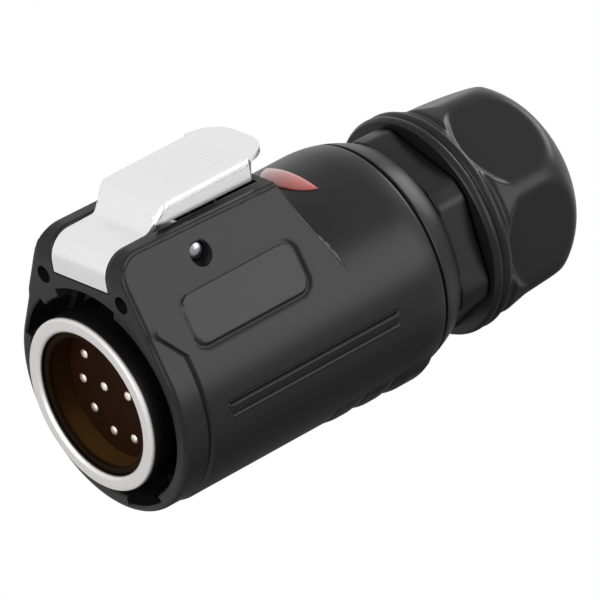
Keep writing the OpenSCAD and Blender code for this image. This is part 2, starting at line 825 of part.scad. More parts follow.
module insert() {
    skirt_r = insert_r - skirt_wall;
    color([0.34, 0.16, 0.08])
        difference() {
            turned([
                [0, insert_floor], [skirt_r - insert_bevel, insert_floor],
                [skirt_r, insert_floor - insert_bevel], [skirt_r, insert_setback],
                [insert_r, insert_setback], [insert_r, seat_x], [insert_flange_r, seat_x],
                [insert_flange_r, insert_x1], [0, insert_x1]
            ]);
            at_contacts() {
                x_cylinder(pin_r + slip, insert_floor - past, insert_x1);
                x_cylinder(pin_r + shoulder_w + slip, shoulder_x, insert_x1 + past);
            }
        }
}

module rear_insulator() {
    color([0.3, 0.14, 0.08])
        difference() {
            x_cylinder(insulator_r, insert_x1, insulator_x1);
            at_contacts()
                x_cylinder(cup_r + slip, insert_x1 - past, insulator_x1 + past);
        }
}

// Pin with a flat end, a shoulder and a solder cup that is open on one side
module contact(i) {
    place = contact_places[i - 1];
    tip_x = insert_floor - tip_proud;
    cup_x1 = insulator_x1 + cup_len;
    color([0.83, 0.7, 0.42])
        translate([0, place[0], place[1]])
            difference() {
                turned([
                    [0, tip_x], [pin_r - tip_edge, tip_x], [pin_r, tip_x + tip_edge], [pin_r, shoulder_x],
                    [pin_r + shoulder_w, shoulder_x], [pin_r + shoulder_w, insert_x1],
                    [cup_r, insert_x1], [cup_r, cup_x1], [0, cup_x1]
                ]);
                x_cylinder(cup_bore_r, insulator_x1 + cup_foot, cup_x1 + past);
                box([cup_x1 - cup_open, -cup_r - past, 0], [cup_x1 + past, cup_r + past, cup_r + past]);
            }
}

module body_seal() {
    color([0.08, 0.08, 0.08])
        x_tube(body_seal_r, spigot_r + slip, shell_x1 - body_seal_len, shell_x1);
}

// Hexagon with blunted corners, as [y, z] points: side is half the angle that a flat spans
function blunt_hexagon() =
    let (
        side = atan((hex_corner / hex_flat - cos(30)) / sin(30)),
        corner = hex_flat / cos(side)
    )
    [for (k = [0 : 5]) for (s = [-side, side]) let (a = hex_turn + 60 * k + s) corner * [-cos(a), sin(a)]];

module gland_body() {
    color([0.15, 0.15, 0.16])
        difference() {
            union() {
                x_cylinder(spigot_r, thread_x0, hex_x0 + past);
                along_x(blunt_hexagon(), hex_x0, hex_x1);
                x_cylinder(sleeve_r, hex_x1 - past, sleeve_x1);
            }
            x_cylinder(wire_way_r, thread_x0 - past, sleeve_x1 + past);
            x_cylinder(cage_out + slip, cage_x0, sleeve_x1 + past);
        }
}

module clamp_cage() {
    slot_x0 = sleeve_x1 - finger_len / 2;
    color([0.2, 0.2, 0.21])
        difference() {
            x_tube(cage_out, cage_in, cage_x0, cage_x1);
            for (i = [0 : finger_count - 1])
                rotate([360 * i / finger_count, 0, 0])
                    box([slot_x0, -finger_slot / 2, 0], [cage_x1 + past, finger_slot / 2, cage_out + past]);
        }
}

module cable_seal() {
    color([0.09, 0.09, 0.09])
        x_tube(cable_seal_r, cable_r, cage_x0, cage_x1);
}

// Slip ring whose cone closes the cage's fingers when the nut is tightened
module thrust_ring() {
    out_r = nut_bore_r - thrust_gap;
    throat_r = cage_out + thrust_gap;
    throat_x = cage_x1 + thrust_gap;
    color([0.82, 0.82, 0.8])
        turned([
            [cage_out + thrust_flare, thrust_x0], [out_r, thrust_x0], [out_r, thrust_x1],
            [nut_hole_r, thrust_x1], [nut_hole_r, throat_x], [throat_r, throat_x]
        ]);
}

// Nut with a beaded flange, six tapered flats that run out in a bowed edge, and a domed rear end
module gland_nut() {
    bead = nut_flange_len / 4;
    ridge_x = nut_x0 + nut_flange_len + nut_fillet_len;
    dome_high = nut_dome_h / cos(nut_dome_deg);
    dome_long = nut_dome_len / (1 - sin(nut_dome_deg));
    dome_foot = nut_tail_r - nut_dome_h;
    steps = 6;
    beads = [
        for (k = [1, 3])
            for (i = [-steps : steps])
                [nut_flange_r - nut_bead_h * i * i / (steps * steps), nut_x0 + bead * (k + i / steps)]
    ];
    dome = [
        for (p = arc(0, 0, 1, nut_dome_deg, 90, steps))
            [dome_foot + dome_high * p[0], nut_x1 + dome_long * (p[1] - 1)]
    ];
    cut_h = nut_flange_r - nut_flat + past;
    color([0.15, 0.15, 0.16])
        difference() {
            turned(concat(
                [[nut_bore_r, nut_x0]], beads, [[nut_ridge_r, ridge_x]], dome,
                [[nut_hole_r, nut_x1], [nut_hole_r, thrust_x1], [nut_bore_r, thrust_x1]]
            ));
            for (k = [0 : 5])
                rotate([90 - nut_turn + 60 * k, 0, 0])
                    translate([ridge_x, 0, nut_flat])
                        rotate([0, nut_flat_deg, 0])
                            translate([nut_flat_bow - nut_flat_lead, 0, 0])
                                cylinder(r1 = nut_flat_bow, r2 = nut_flat_bow + cut_h, h = cut_h, $fn = 96);
        }
}

shell();
latch();
latch_pin();
latch_spring();
lock_indicator();
coupling_ring();
front_seal();
ring_retainer();
insert();
rear_insulator();
for (i = [1 : contact_count])
    contact(i);
body_seal();
gland_body();
clamp_cage();
cable_seal();
thrust_ring();
gland_nut();
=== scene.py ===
"""Looks of a circular waterproof cable plug: latch lever on top, round contact insert, screw gland.

Lengths in the formulas are millimetres in the frame's axes: X runs from the coupling ring's rim towards
the cable and Z is up. Angles about X are counted from the horizontal, so the top is at 90 degrees.
"""

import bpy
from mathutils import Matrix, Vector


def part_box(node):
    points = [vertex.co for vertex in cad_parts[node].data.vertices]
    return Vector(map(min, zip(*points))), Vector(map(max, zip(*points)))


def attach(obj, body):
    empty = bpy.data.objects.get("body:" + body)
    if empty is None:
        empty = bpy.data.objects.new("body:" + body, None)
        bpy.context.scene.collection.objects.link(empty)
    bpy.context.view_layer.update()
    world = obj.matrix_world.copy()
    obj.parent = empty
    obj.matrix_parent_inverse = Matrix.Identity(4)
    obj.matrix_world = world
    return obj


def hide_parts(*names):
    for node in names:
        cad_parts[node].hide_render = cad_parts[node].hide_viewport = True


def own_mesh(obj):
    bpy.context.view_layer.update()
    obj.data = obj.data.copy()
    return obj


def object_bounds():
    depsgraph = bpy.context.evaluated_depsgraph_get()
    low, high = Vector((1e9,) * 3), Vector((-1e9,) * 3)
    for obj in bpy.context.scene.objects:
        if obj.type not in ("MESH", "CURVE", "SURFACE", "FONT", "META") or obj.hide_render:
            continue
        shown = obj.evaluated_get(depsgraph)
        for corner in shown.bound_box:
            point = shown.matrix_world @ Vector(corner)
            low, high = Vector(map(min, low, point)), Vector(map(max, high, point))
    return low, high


bl_info = {
    "name": "Circular cable plug",
    "version": (1, 0, 0),
    "blender": (4, 5, 0),
    "location": "3D View > Sidebar > Plug",
    "description": "Surfaces, finishes and studio of a circular waterproof cable plug",
    "category": "Object",
}

from types import SimpleNamespace

import bmesh
import bpy
import numpy as np
from mathutils import Matrix, Vector

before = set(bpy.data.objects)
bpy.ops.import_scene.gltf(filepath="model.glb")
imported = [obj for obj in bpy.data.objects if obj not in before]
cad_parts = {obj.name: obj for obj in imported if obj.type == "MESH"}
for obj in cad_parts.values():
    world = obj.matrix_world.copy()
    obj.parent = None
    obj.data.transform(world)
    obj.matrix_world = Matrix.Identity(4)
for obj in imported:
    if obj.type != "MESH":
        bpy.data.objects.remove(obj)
CAD_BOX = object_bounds()
MM = 0.001
MIX_SHARE, MIX_FIRST, MIX_SECOND, MIX_RESULT = 0, 6, 7, 2  # a mix node's sockets for colours

# Shell: shares and places of its details, in millimetres where nothing else is said
# The lines above the ribs are shallow grooves with painted shade in them, where shadow falls.
RIB_LINES = (1.0, 0.4)  # strength of the line above the upper and the lower rib
STEP_RUN = (-0.35, -0.05, 0.05, 0.35)  # places beside the collar's rear line
STEP_FALL = (-1, -1.8, -1.8, 0)  # fall there, in steps of the collar: collar, hollow line, barrel
GRIP_RIDGES = 3  # finger ridges under the barrel
GRIP_SINES = (-0.62, -0.7)  # sines of the angles between which they rise
RIDGE_RUN = (0, 0.33, 0.65, 0.97)  # foot, top, top and foot of a finger ridge, in pitches
RIDGE_SHAPE = (0, 1, 1, 0)  # height there, in heights of the ridge
GROOVE_SOFT = 0.12  # half the run of the rear groove's sides
FLOOR_POINTS = 9  # points across half the channel's floor

CABLE_R = 7.0  # radius of the cable's hole in the nut and the slip ring

INNER_SLOTS = {  # finishes of the inner pieces that keep their CAD shape
    "ring_retainer": "retainer_brass",
    "rear_insulator": "insert_plastic",
    "body_seal": "seal_rubber",
    "clamp_cage": "cage_plastic",
}

# Studio: the floor's half width, the surroundings' level to the light, and the plug's shadow in mirrors, as
# the full share of its reach and the levels in it and around it
FLOOR_REACH = 3000.0
SURROUND = 0.07
SHADOW_CORE, SHADOW_LOW, SHADOW_HIGH = 0.4, 0.15, 0.78
LAMPS = {  # place from the plug's middle and width in metres, power in watts
    "side": ((0.42, -0.65, 0.21), 0.55, 3.6),
    "over": ((0.8, 0.05, 0.27), 0.4, 2.6),
    "front": ((-0.72, -0.2, 0.28), 0.5, 3.9),
}


def length(label, note, value):
    """Property for a length, given in millimetres and kept in metres."""
    return bpy.props.FloatProperty(
        name=label, description=note, default=value * MM, unit="LENGTH", subtype="DISTANCE", precision=5)


def angle(label, note, value):
    """Property for an angle, given in degrees."""
    return bpy.props.FloatProperty(
        name=label, description=note, default=np.radians(value), unit="ROTATION", subtype="ANGLE")


def tint(label, note, value):
    """Property for a colour in linear light."""
    return bpy.props.FloatVectorProperty(
        name=label, description=note, default=value, size=3, min=0, max=1, subtype="COLOR")


class PlugShellSizes(bpy.types.PropertyGroup):
    """Driving sizes of the shell."""

    barrel_r: length("Barrel radius", "Radius of the shell behind its front collar", 17.5)
    collar_step: length("Collar step", "How far the barrel stands proud of the front collar", 0.3)
    collar_len: length("Collar length", "Length of the front collar", 4.4)
    front_edge: length("Front edge", "Radius of the front face's outer edge", 0.75)
    bore_r: length("Mating bore", "Radius of the bore around the coupling ring", 15.1)
    key_depth: length("Keyway depth", "Depth of the keyways in the mating bore", 1.1)
    key_len: length("Keyway length", "Length of the keyways", 7.4)
    dome_len: length("Dome length", "Length of the domed rear end", 8.8)
    groove_back: length("Groove place", "Distance of the rear groove from the rear rim", 4.4)
    groove_w: length("Groove width", "Width of the rear groove", 0.5)
    groove_depth: length("Groove depth", "Depth of the rear groove", 0.4)
    side_lean: angle("Side lean", "Lean of the latch block's sloping sides", 25)
    block_top: length("Block top", "Height of the cheeks above the axis", 23.5)
    block_fall: length("Block fall", "Fall of the cheeks towards the rear", 0.7)
    block_len: length("Block length", "Length of the cheeks", 28.6)
    block_tail: length("Block tail", "Run of the block's sloping rear", 6.0)
    tail_soft: length("Tail crease", "Softening of the crease between the block's rear and the barrel", 1.2)
    tail_corner: length("Tail corner", "Rounding of the edge between the block's rear and its sides", 2.6)
    nose_r: length("Nose radius", "Radius of the block's front top edge", 3.9)
    corner: length("Cheek corner", "Rounding of the cheeks' top corners", 0.45)
    line_drop: length("Line place", "Distance of the fine line below the cheeks' corners", 0.35)
    line_w: length("Line width", "Width of the fine line below the cheeks' corners", 0.16)
    line_depth: length("Line depth", "Depth of the fine line below the cheeks' corners", 0.16)
    channel_w: length("Channel width", "Half width of the channel for the latch", 6.0)
    channel_edge: length("Channel edge", "Rounding of the channel's upper edges", 0.45)
    channel_floor: length("Channel floor", "Height of the channel's floor above the axis", 17.75)
    plaque_len: length("Plaque length", "Length of the raised side plaque", 20.0)
    plaque_h: length("Plaque height", "Height of the side plaque along the slope", 7.2)
    plaque_start: length("Plaque place", "Distance of the plaque from the shell's front", 6.7)
    plaque_rise: length("Plaque rise", "Distance of the plaque from the slope's foot", 1.9)
    plaque_proud: length("Plaque step", "How far the side plaque stands proud of the slope", 0.35)
    plaque_corner: length("Plaque corner", "Corner radius of the side plaque", 1.8)
    lens_bulge: length("Lens bulge", "How far the red insert's bowed edge reaches over its seat", 0.6)
    ditch_w: length("Ditch width", "Width of the ditch beside the plaque's rear and lower edges", 0.75)
    ditch_depth: length("Ditch depth", "Depth of that ditch and of the lines above the ribs", 0.3)
    rib_r: length("Rib radius", "Radius of the side ribs", 0.4)
    rib_start: length("Rib place", "Distance of the ribs from the shell's front", 8.4)
    rib_len: length("Rib length", "Length of the side ribs", 30.0)
    grip_start: length("Grip place", "Distance of the first finger ridge from the shell's front", 29.15)
    grip_pitch: length("Grip pitch", "Distance between the finger ridges", 5.35)
    grip_h: length("Grip height", "Height of the first finger ridge", 0.24)
    grip_growth: length("Grip growth", "Growth of the finger ridges from one to the next", 0.2)
    grip_tail: length("Grip tail", "Run of the last finger ridge into the domed rear end", 1.6)


class PlugLatchSizes(bpy.types.PropertyGroup):
    """Driving sizes of the latch, its pin and its spring."""

    saddle_z: length("Saddle height", "Height of the saddle's top above the axis", 23.25)
    saddle_w: length("Saddle width", "Half width of the saddle and the lip", 5.75)
    plate_z: length("Plate height", "Height of the thumb plate's top above the axis", 27.0)
    plate_w: length("Plate width", "Half width of the thumb plate", 6.8)
    plate_corner: length("Plate corner", "Radius of the plate's rear corners", 5.0)
    sheet_t: length("Sheet", "Thickness of the lever", 0.8)
    bend_r: length("Lip bend", "Radius of the bend above the lip", 3.75)
    lip_z: length("Lip foot", "Height of the lip's lower edge", 18.0)
    rise_start: length("Rise place", "Distance of the rise from the lip", 7.8)
    rise_len: length("Rise length", "Run of the rise to the thumb plate", 4.0)
    skirt_start: length("Fold start", "Distance of the folded sides from the lip", 9.3)
    skirt_end: length("Fold end", "Distance of the folded sides' rear edge from the lip", 26.2)
    skirt_front_z: length("Fold front", "Height of the folded sides' lower edge in front", 24.1)
    skirt_rear_z: length("Fold rear", "Height of the folded sides' lower edge at the rear", 23.6)
    web_w: length("Web width", "Half width of the web between the lever and its barrel", 3.0)
    grip_h: length("Ridge height", "Height of the grip ridges on the plate", 0.2)
    pin_r: length("Pin radius", "Radius of the pivot pin", 1.5)
    pivot_back: length("Pivot place", "Distance of the pivot behind the lip", 13.2)
    pivot_z: length("Pivot height", "Height of the pivot above the axis", 19.4)
    spring_r: length("Spring radius", "Outside radius of the return spring", 2.2)
    wire_r: length("Wire radius", "Radius of the spring's wire", 0.25)


class PlugGlandSizes(bpy.types.PropertyGroup):
    """Driving sizes of the hexagon and the nut."""

    hex_flat: length("Hexagon flat", "Distance of the hexagon's flats from the axis", 14.0)
    hex_corner: length("Hexagon corner", "Distance of the blunted corners from the axis", 15.35)
    hex_turn: angle("Hexagon turn", "Turn of the first flat above the horizontal", 10.5)
    sleeve_r: length("Sleeve radius", "Radius of the threaded sleeve", 12.0)
    thread_pitch: length("Thread pitch", "Pitch of the sleeve's thread", 1.5)
    thread_h: length("Thread depth", "Depth of the sleeve's thread", 0.4)
    flange_r: length("Flange radius", "Radius of the nut's beaded flange", 16.55)
    flange_len: length("Flange length", "Length of the nut's flange", 3.3)
    bead_h: length("Bead height", "Height of the flange's two beads", 0.45)
    neck_depth: length("Neck depth", "Depth of the hollow line behind the flange", 0.3)
    ridge_r: length("Ridge radius", "Radius of the nut between its flats, in front", 16.3)
    tail_r: length("Tail radius", "Radius of the nut between its flats, at the rear", 15.8)
    flat_r: length("Flat distance", "Distance of the nut's flats from the axis, in front", 14.7)
    flat_lean: angle("Flat lean", "Lean of the nut's flats towards the axis", 3.5)
    fillet_len: length("Fillet length", "Length of the fillet behind the nut's flange", 2.7)
    dome_len: length("Dome length", "Length of the nut's domed rear end", 6.0)
    dome_h: length("Dome height", "Fall of the nut's domed rear end", 7.4)
    dome_slope: angle("Dome slope", "Where on its quarter arc the nut's domed end starts", 42.0)
    flat_bow: length("Flat bow", "Radius of the bowed front edge of the nut's flats", 10.0)
    flat_lead: length("Flat lead", "How far the flats reach ahead of the ridges", 2.0)
    flat_soft: length("Flat edge", "Softening of the edges between the nut's flats and ridges", 0.55)
    tail_soft: length("Tail edge", "Softening of the edge of the nut's domed end", 1.0)
    nut_turn: angle("Nut turn", "Turn of the nut's first flat above the horizontal", -5.0)


class PlugColours(bpy.types.PropertyGroup):
    """Colours of the finishes, and of the painted shade and highlight laid over some of them."""

    shell: tint("Shell", "Black plastic of the shell", (0.016, 0.016, 0.0162))
    # Plaque: the code only lays a lighter tone over the raised plaque; no wear is modelled.
    plaque: tint("Plaque", "Worn black plastic of the raised plaque", (0.036, 0.036, 0.0363))
    # Lines: painted shade, a darker colour in the plaque's ditch and above the ribs, where shadow falls.
    lines: tint("Lines", "Black plastic in the hollow lines", (0.004, 0.004, 0.004))
    gland: tint("Gland", "Black plastic of the gland", (0.014, 0.014, 0.0141))
    # Flats: painted shade; the flats are darkened in colour for the dark surroundings their faces reflect,
    # with the same roughness as the ridges.
    flats: tint("Flats", "Smooth black plastic of the nut's flats", (0.008, 0.008, 0.0081))
    latch: tint("Latch", "Satin metal of the latch", (0.84, 0.84, 0.84))
    steel: tint("Steel", "Pin steel", (0.3, 0.3, 0.31))
    spring: tint("Spring", "Blackened spring steel", (0.06, 0.06, 0.062))
    ring: tint("Ring", "Satin metal of the coupling ring's rim", (0.76, 0.745, 0.73))
    # Ring side: painted shade; the metal turns near black behind the rim, for the dark bore of the shell that
    # it reflects.
    dark_ring: tint("Ring side", "Blackened side of the coupling ring", (0.012, 0.012, 0.012))
    brass: tint("Brass", "Retaining ring", (0.6, 0.5, 0.3))
    insert: tint("Insert", "Brown insulator", (0.033, 0.013, 0.004))
    # Insert floor: painted shade, darker towards the floor deep inside the cup.
    deep: tint("Insert floor", "Brown insulator around the contacts", (0.02, 0.0075, 0.0033))
    # Insert edge: painted shade, a darker front edge in the shade behind the coupling ring's rim.
    brim: tint("Insert edge", "Brown insulator's front edge", (0.013, 0.006, 0.003))
    # Insert glow: a painted amber highlight on the insert's lower part; no light passes through the
    # insulator.
    amber: tint("Insert glow", "Insulator where light shines through it", (0.092, 0.045, 0.012))
    contact: tint("Contacts", "Flush contact ends", (0.95, 0.86, 0.74))
    red: tint("Indicator", "Red domed insert", (0.9, 0.15, 0.13))
    rubber: tint("Rubber", "Seals", (0.02, 0.02, 0.02))
    cage: tint("Cage", "Clamp cage", (0.07, 0.07, 0.075))
    slip: tint("Slip ring", "Thrust ring", (0.72, 0.71, 0.67))
    floor: tint("Floor", "Floor of the studio, to the light", (0.14, 0.14, 0.14))


class PlugStage(bpy.types.PropertyGroup):
    """View and studio."""

    azimuth: angle("Azimuth", "Turn of the view about Z from the side", -36.034)
    elevation: angle("Elevation", "Height of the view", 26.910)
    roll: angle("Roll", "Roll of the view", -10.3)
    distance: length("Distance", "Distance of the camera from the point it looks at", 1250.0)
    lens: bpy.props.FloatProperty(
        name="Lens", description="Focal length in millimetres", default=551.77, min=20, max=900)
    aim: bpy.props.FloatVectorProperty(
        name="Aim", description="Point the camera looks at", unit="LENGTH", subtype="TRANSLATION",
        default=[v * MM for v in (27.254, -14.762, 8.065)], precision=5)
    floor_drop: length("Floor", "Height of the floor below the axis", 140.0)
    shadow_x: length("Shadow place", "Middle of the plug's shadow in mirrors along X", 110.0)
    shadow_y: length("Shadow side", "Middle of the plug's shadow in mirrors along Y", 20.0)
    shadow_r: length("Shadow reach", "Reach of the plug's shadow in mirrors", 200.0)


def in_mm(group):
    """Values of a property group, with its lengths in millimetres."""
    rna = group.bl_rna.properties
    return SimpleNamespace(**{
        key: getattr(group, key) / (MM if rna[key].unit == "LENGTH" else 1) for key in group.__annotations__})


def node_box(node):
    """Corners of a CAD node in millimetres."""
    low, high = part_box(node)
    return np.array(low) / MM, np.array(high) / MM


def smooth_min(a, b, width):
    """Smaller of a and b, with the corner between them rounded over a width."""
    h = np.clip(0.5 + 0.5 * (b - a) / width, 0, 1)
    return b + (a - b) * h - width * h * (1 - h)


def smooth_step(low, high, x):
    """Ramp from 0 at low to 1 at high with level ends."""
    t = np.clip((x - low) / (high - low), 0, 1)
    return t * t * (3 - 2 * t)


def stations(*spans):
    """Sorted places along a line from spans of (start, end, steps)."""
    places = [np.linspace(start, end, steps + 1) for start, end, steps in spans]
    return np.unique(np.round(np.concatenate(places), 4))


def rounded(points, radius, steps=4):
    """Closed outline whose corners are parabolas that leave both edges at a distance from the corner."""
    corner = np.asarray(points, float)
    back = np.roll(corner, 1, 0) - corner
    ahead = np.roll(corner, -1, 0) - corner
    back_len = np.linalg.norm(back, axis=1, keepdims=True)
    ahead_len = np.linalg.norm(ahead, axis=1, keepdims=True)
    cut = np.broadcast_to(np.asarray(radius, float).reshape(-1, 1), back_len.shape)
    cut = np.minimum(cut, 0.49 * np.minimum(back_len, ahead_len))
    start = (corner + back / back_len * cut)[:, None]
    end = (corner + ahead / ahead_len * cut)[:, None]
    t = np.linspace(0, 1, steps + 1)[None, :, None]
    curve = (1 - t) ** 2 * start + 2 * t * (1 - t) * corner[:, None] + t * t * end
    return curve.reshape(-1, corner.shape[1])


def around_x(x, r, a):
    """Points at places x along X, distances r from it and angles a about it."""
    return np.stack(np.broadcast_arrays(x, r * np.cos(a), r * np.sin(a)), -1)


def full_turn(count):
    """Angles of a number of even steps around."""
    return np.linspace(0, 2 * np.pi, count, endpoint=False)


def turned(profile, count=96, centre=(0.0, 0.0), ring=True):
    """Grid of an outline of (x, r) points turned about X; a ring's outline is closed, a solid's ends on X."""
    x, r = np.asarray(profile, float).T
    return around_x(x, r, full_turn(count)[:, None]) + [0, *centre], True, ring, False


def turned_across(profile, count, pivot, ring=True):
    """Grid of an outline of (y, r) points turned about the line along Y through a pivot (x, z)."""
    grid = turned(profile, count)[0][..., [1, 0, 2]]
    return grid + [pivot[0], 0, pivot[1]], True, ring, False


def extruded(outline, low, high, axis):
    """Grid of a closed outline carried along an axis, with flat ends."""
    flat = np.asarray(outline, float)
    ends = np.array([low, high])[:, None]
    first = np.broadcast_to(flat[:, 0], (2, len(flat)))
    second = np.broadcast_to(flat[:, 1], (2, len(flat)))
    along = np.broadcast_to(ends, (2, len(flat)))
    order = {"x": (along, first, second), "y": (first, along, second), "z": (first, second, along)}
    return np.stack(order[axis], -1), False, True, True


def circle(radius, centre=(0.0, 0.0), count=48):
    """Outline of a circle."""
    a = full_turn(count)
    return np.stack([centre[0] + radius * np.cos(a), centre[1] + radius * np.sin(a)], -1)


def rectangle(low, high):
    """Outline of a rectangle between two corners."""
    return [[low[0], low[1]], [high[0], low[1]], [high[0], high[1]], [low[0], high[1]]]


def mesh_from(name, patches):
    """Mesh of one or more grids; each is (points, wrap rows, wrap columns, cap the end rows)."""
    points, faces, start = [], [], 0
    for grid, wrap_rows, wrap_columns, capped in patches:
        rows, columns = grid.shape[:2]
        i = np.arange(rows if wrap_rows else rows - 1)[:, None]
        j = np.arange(columns if wrap_columns else columns - 1)[None, :]
        i2 = (i + 1) % rows * columns
        j2 = (j + 1) % columns
        quads = np.stack([i * columns + j, i * columns + j2, i2 + j2, i2 + j], -1).reshape(-1, 4)
        faces.extend((quads + start).tolist())
        if capped:
            first = np.arange(columns) + start
            faces.append(first[::-1].tolist())
            faces.append((first + (rows - 1) * columns).tolist())
        points.append(grid.reshape(-1, 3))
        start += rows * columns
    mesh = bpy.data.meshes.new(name)
    mesh.from_pydata((np.concatenate(points) * MM).tolist(), [], faces)
    work = bmesh.new()
    work.from_mesh(mesh)
    bmesh.ops.remove_doubles(work, verts=work.verts, dist=1e-7)
    bmesh.ops.dissolve_degenerate(work, edges=work.edges, dist=1e-8)
    bmesh.ops.recalc_face_normals(work, faces=work.faces)
    work.to_mesh(mesh)
    work.free()
    return mesh


def shade(mesh, sharp_deg):
    """Smooth faces, with edges sharper than an angle kept."""
    mesh.polygons.foreach_set("use_smooth", np.ones(len(mesh.polygons), bool))
    mesh.set_sharp_from_angle(angle=np.radians(sharp_deg))


def places(mesh):
    """Places of a mesh's points as rows x, y and z in millimetres."""
    flat = np.empty(3 * len(mesh.vertices), np.float32)
    mesh.vertices.foreach_get("co", flat)
    return flat.reshape(-1, 3).T.astype(float) / MM


def add_mark(mesh, name, share):
    """Mark on a mesh's points, from 0 to 1, for a finish to read."""
    mesh.attributes.new(name, "FLOAT", "POINT").data.foreach_set("value", share)


def add_piece(name, mesh, body, slot, nodes=(), sharp_deg=32):
    """Object for a mesh that rides on a body, has the finish of a slot and replaces CAD nodes."""
    shade(mesh, sharp_deg)
    obj = bpy.data.objects.new(name, mesh)
    bpy.context.collection.objects.link(obj)
    mesh.materials.clear()
    mesh.materials.append(bpy.data.materials[slot])
    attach(obj, body)
    if nodes:
        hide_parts(*nodes)
    return obj


def add_turned(name, profile, body, slot, node, count=96, centre=(0.0, 0.0), ring=True, sharp_deg=32):
    """Piece turned about X from an outline, in place of a CAD node."""
    mesh = mesh_from(name + "_turned", [turned(profile, count, centre, ring)])
    return add_piece(name, mesh, body, slot, [node], sharp_deg)


def carve(mesh, patches):
    """Mesh with the solids of some grids cut out of it."""
    host = bpy.data.objects.new("carved", mesh)
    tool = bpy.data.objects.new("carver", mesh_from("carver", patches))
    for obj in (host, tool):
        bpy.context.collection.objects.link(obj)
    cut = host.modifiers.new("cut", "BOOLEAN")
    cut.operation = "DIFFERENCE"
    cut.solver = "EXACT"
    cut.object = tool
    graph = bpy.context.evaluated_depsgraph_get()
    result = bpy.data.meshes.new_from_object(host.evaluated_get(graph))
    result.name = mesh.name + "_cut"
    for obj in (host, tool):
        bpy.data.objects.remove(obj)
    return result


def add_node(tree, kind, inputs=None, **settings):
    """Shader node with its settings; each input takes a value or another node's output."""
    node = tree.nodes.new("ShaderNode" + kind)
    for key, value in settings.items():
        setattr(node, key, value)
    for key, value in (inputs or {}).items():
        if isinstance(value, bpy.types.NodeSocket):
            tree.links.new(value, node.inputs[key])
        else:
            node.inputs[key].default_value = value
    return node


def find_node(tree, kind):
    """First shader node of a kind."""
    return next(node for node in tree.nodes if node.bl_idname == "ShaderNode" + kind)


def mix_colours(tree, share, first, second):
    """Output of a mix of two colours with alpha by a share from 0 to 1."""
    inputs = {MIX_SHARE: share, MIX_FIRST: first, MIX_SECOND: second}
    return add_node(tree, "Mix", inputs, data_type="RGBA").outputs[MIX_RESULT]


def finish(name, colour, rough, metallic=0.0, grain=0.4, depth=0.0, mottle=0.06, specular=0.5,
           stretch=(1.0, 1.0, 1.0), coat=0.0, rough_range=0.05):
    """Procedural finish: a noise of a grain size in millimetres mottles the colour and roughness and, with
    a depth, raises a texture. Stretch draws the noise out along an axis."""
    material = bpy.data.materials.get(name) or bpy.data.materials.new(name)
    material.use_nodes = True
    tree = material.node_tree
    tree.nodes.clear()
    place = add_node(tree, "TexCoord").outputs["Object"]
    drawn = add_node(tree, "Mapping", {"Vector": place, "Scale": [1 / s for s in stretch]})
    noise = add_node(
        tree, "TexNoise", {"Vector": drawn.outputs["Vector"], "Scale": 1 / (grain * MM), "Detail": 3.0})
    share = noise.outputs["Fac"]
    dark = [max(c * (1 - mottle), 0) for c in colour] + [1]
    pale = [min(c * (1 + mottle), 1) for c in colour] + [1]
    roughness = add_node(tree, "MapRange", {
        "Value": share, "To Min": max(rough - rough_range, 0.02), "To Max": min(rough + rough_range, 1)})
    skin = add_node(tree, "BsdfPrincipled", {
        "Base Color": mix_colours(tree, share, dark, pale), "Roughness": roughness.outputs["Result"],
        "Metallic": metallic, "Specular IOR Level": specular, "Coat Weight": coat})
    if depth:
        bump = add_node(tree, "Bump", {"Height": share, "Strength": 1.0, "Distance": depth * MM})
        tree.links.new(bump.outputs["Normal"], skin.inputs["Normal"])
    add_node(tree, "OutputMaterial", {"Surface": skin.outputs["BSDF"]})
    return material


def fade_by(material, share, colour):
    """Colour of a finish mixed with another by a share from 0 to 1."""
    tree = material.node_tree
    target = find_node(tree, "BsdfPrincipled").inputs["Base Color"]
    tree.links.new(mix_colours(tree, share, target.links[0].from_socket, [*colour, 1]), target)


def fade_along(material, axis, colour, start, end):
    """Colour of a finish that changes to another between two places along an axis, in millimetres."""
    tree = material.node_tree
    place = add_node(tree, "TexCoord").outputs["Object"]
    split = add_node(tree, "SeparateXYZ", {"Vector": place})
    ramp = add_node(
        tree, "MapRange", {"Value": split.outputs[axis], "From Min": start * MM, "From Max": end * MM},
        interpolation_type="SMOOTHSTEP")
    fade_by(material, ramp.outputs["Result"], colour)


def fade_marked(material, mark, colour):
    """Colour of a finish that changes to another where a mesh carries a mark."""
    share = add_node(material.node_tree, "Attribute", attribute_name=mark)
    fade_by(material, share.outputs["Fac"], colour)


def rubber_finish(colours):
    """Matt rubber of the seals."""
    return finish("seal_rubber", colours.rubber, 0.75, grain=0.3, depth=0.02, mottle=0.1, specular=0.2)


def latch_values():
    """Latch sizes with the places that follow from them and from the CAD frame."""
    p = in_mm(bpy.context.scene.plug_latch)
    low, high = node_box("latch")
    p.x0 = low[0]
    p.x1 = high[0]
    p.pivot = (p.x0 + p.pivot_back, p.pivot_z)
    p.fold_r, p.fold_line = 0.7, 0.25  # radius of the folds, depth of the line below them
    p.ridge_r, p.ridge_half = 0.3, 4.1  # half width and half length of the grip ridges
    p.ridge_x = p.x0 + p.skirt_end - 0.8 - 2.1 * np.arange(5)  # their places, from the rear
    p.hook_x = (p.x0 + 4.4, p.x0 + 6.6)  # front and rear of the hook
    p.hook_w, p.hook_z = 3.2, low[2]  # its half width and its foot
    return p


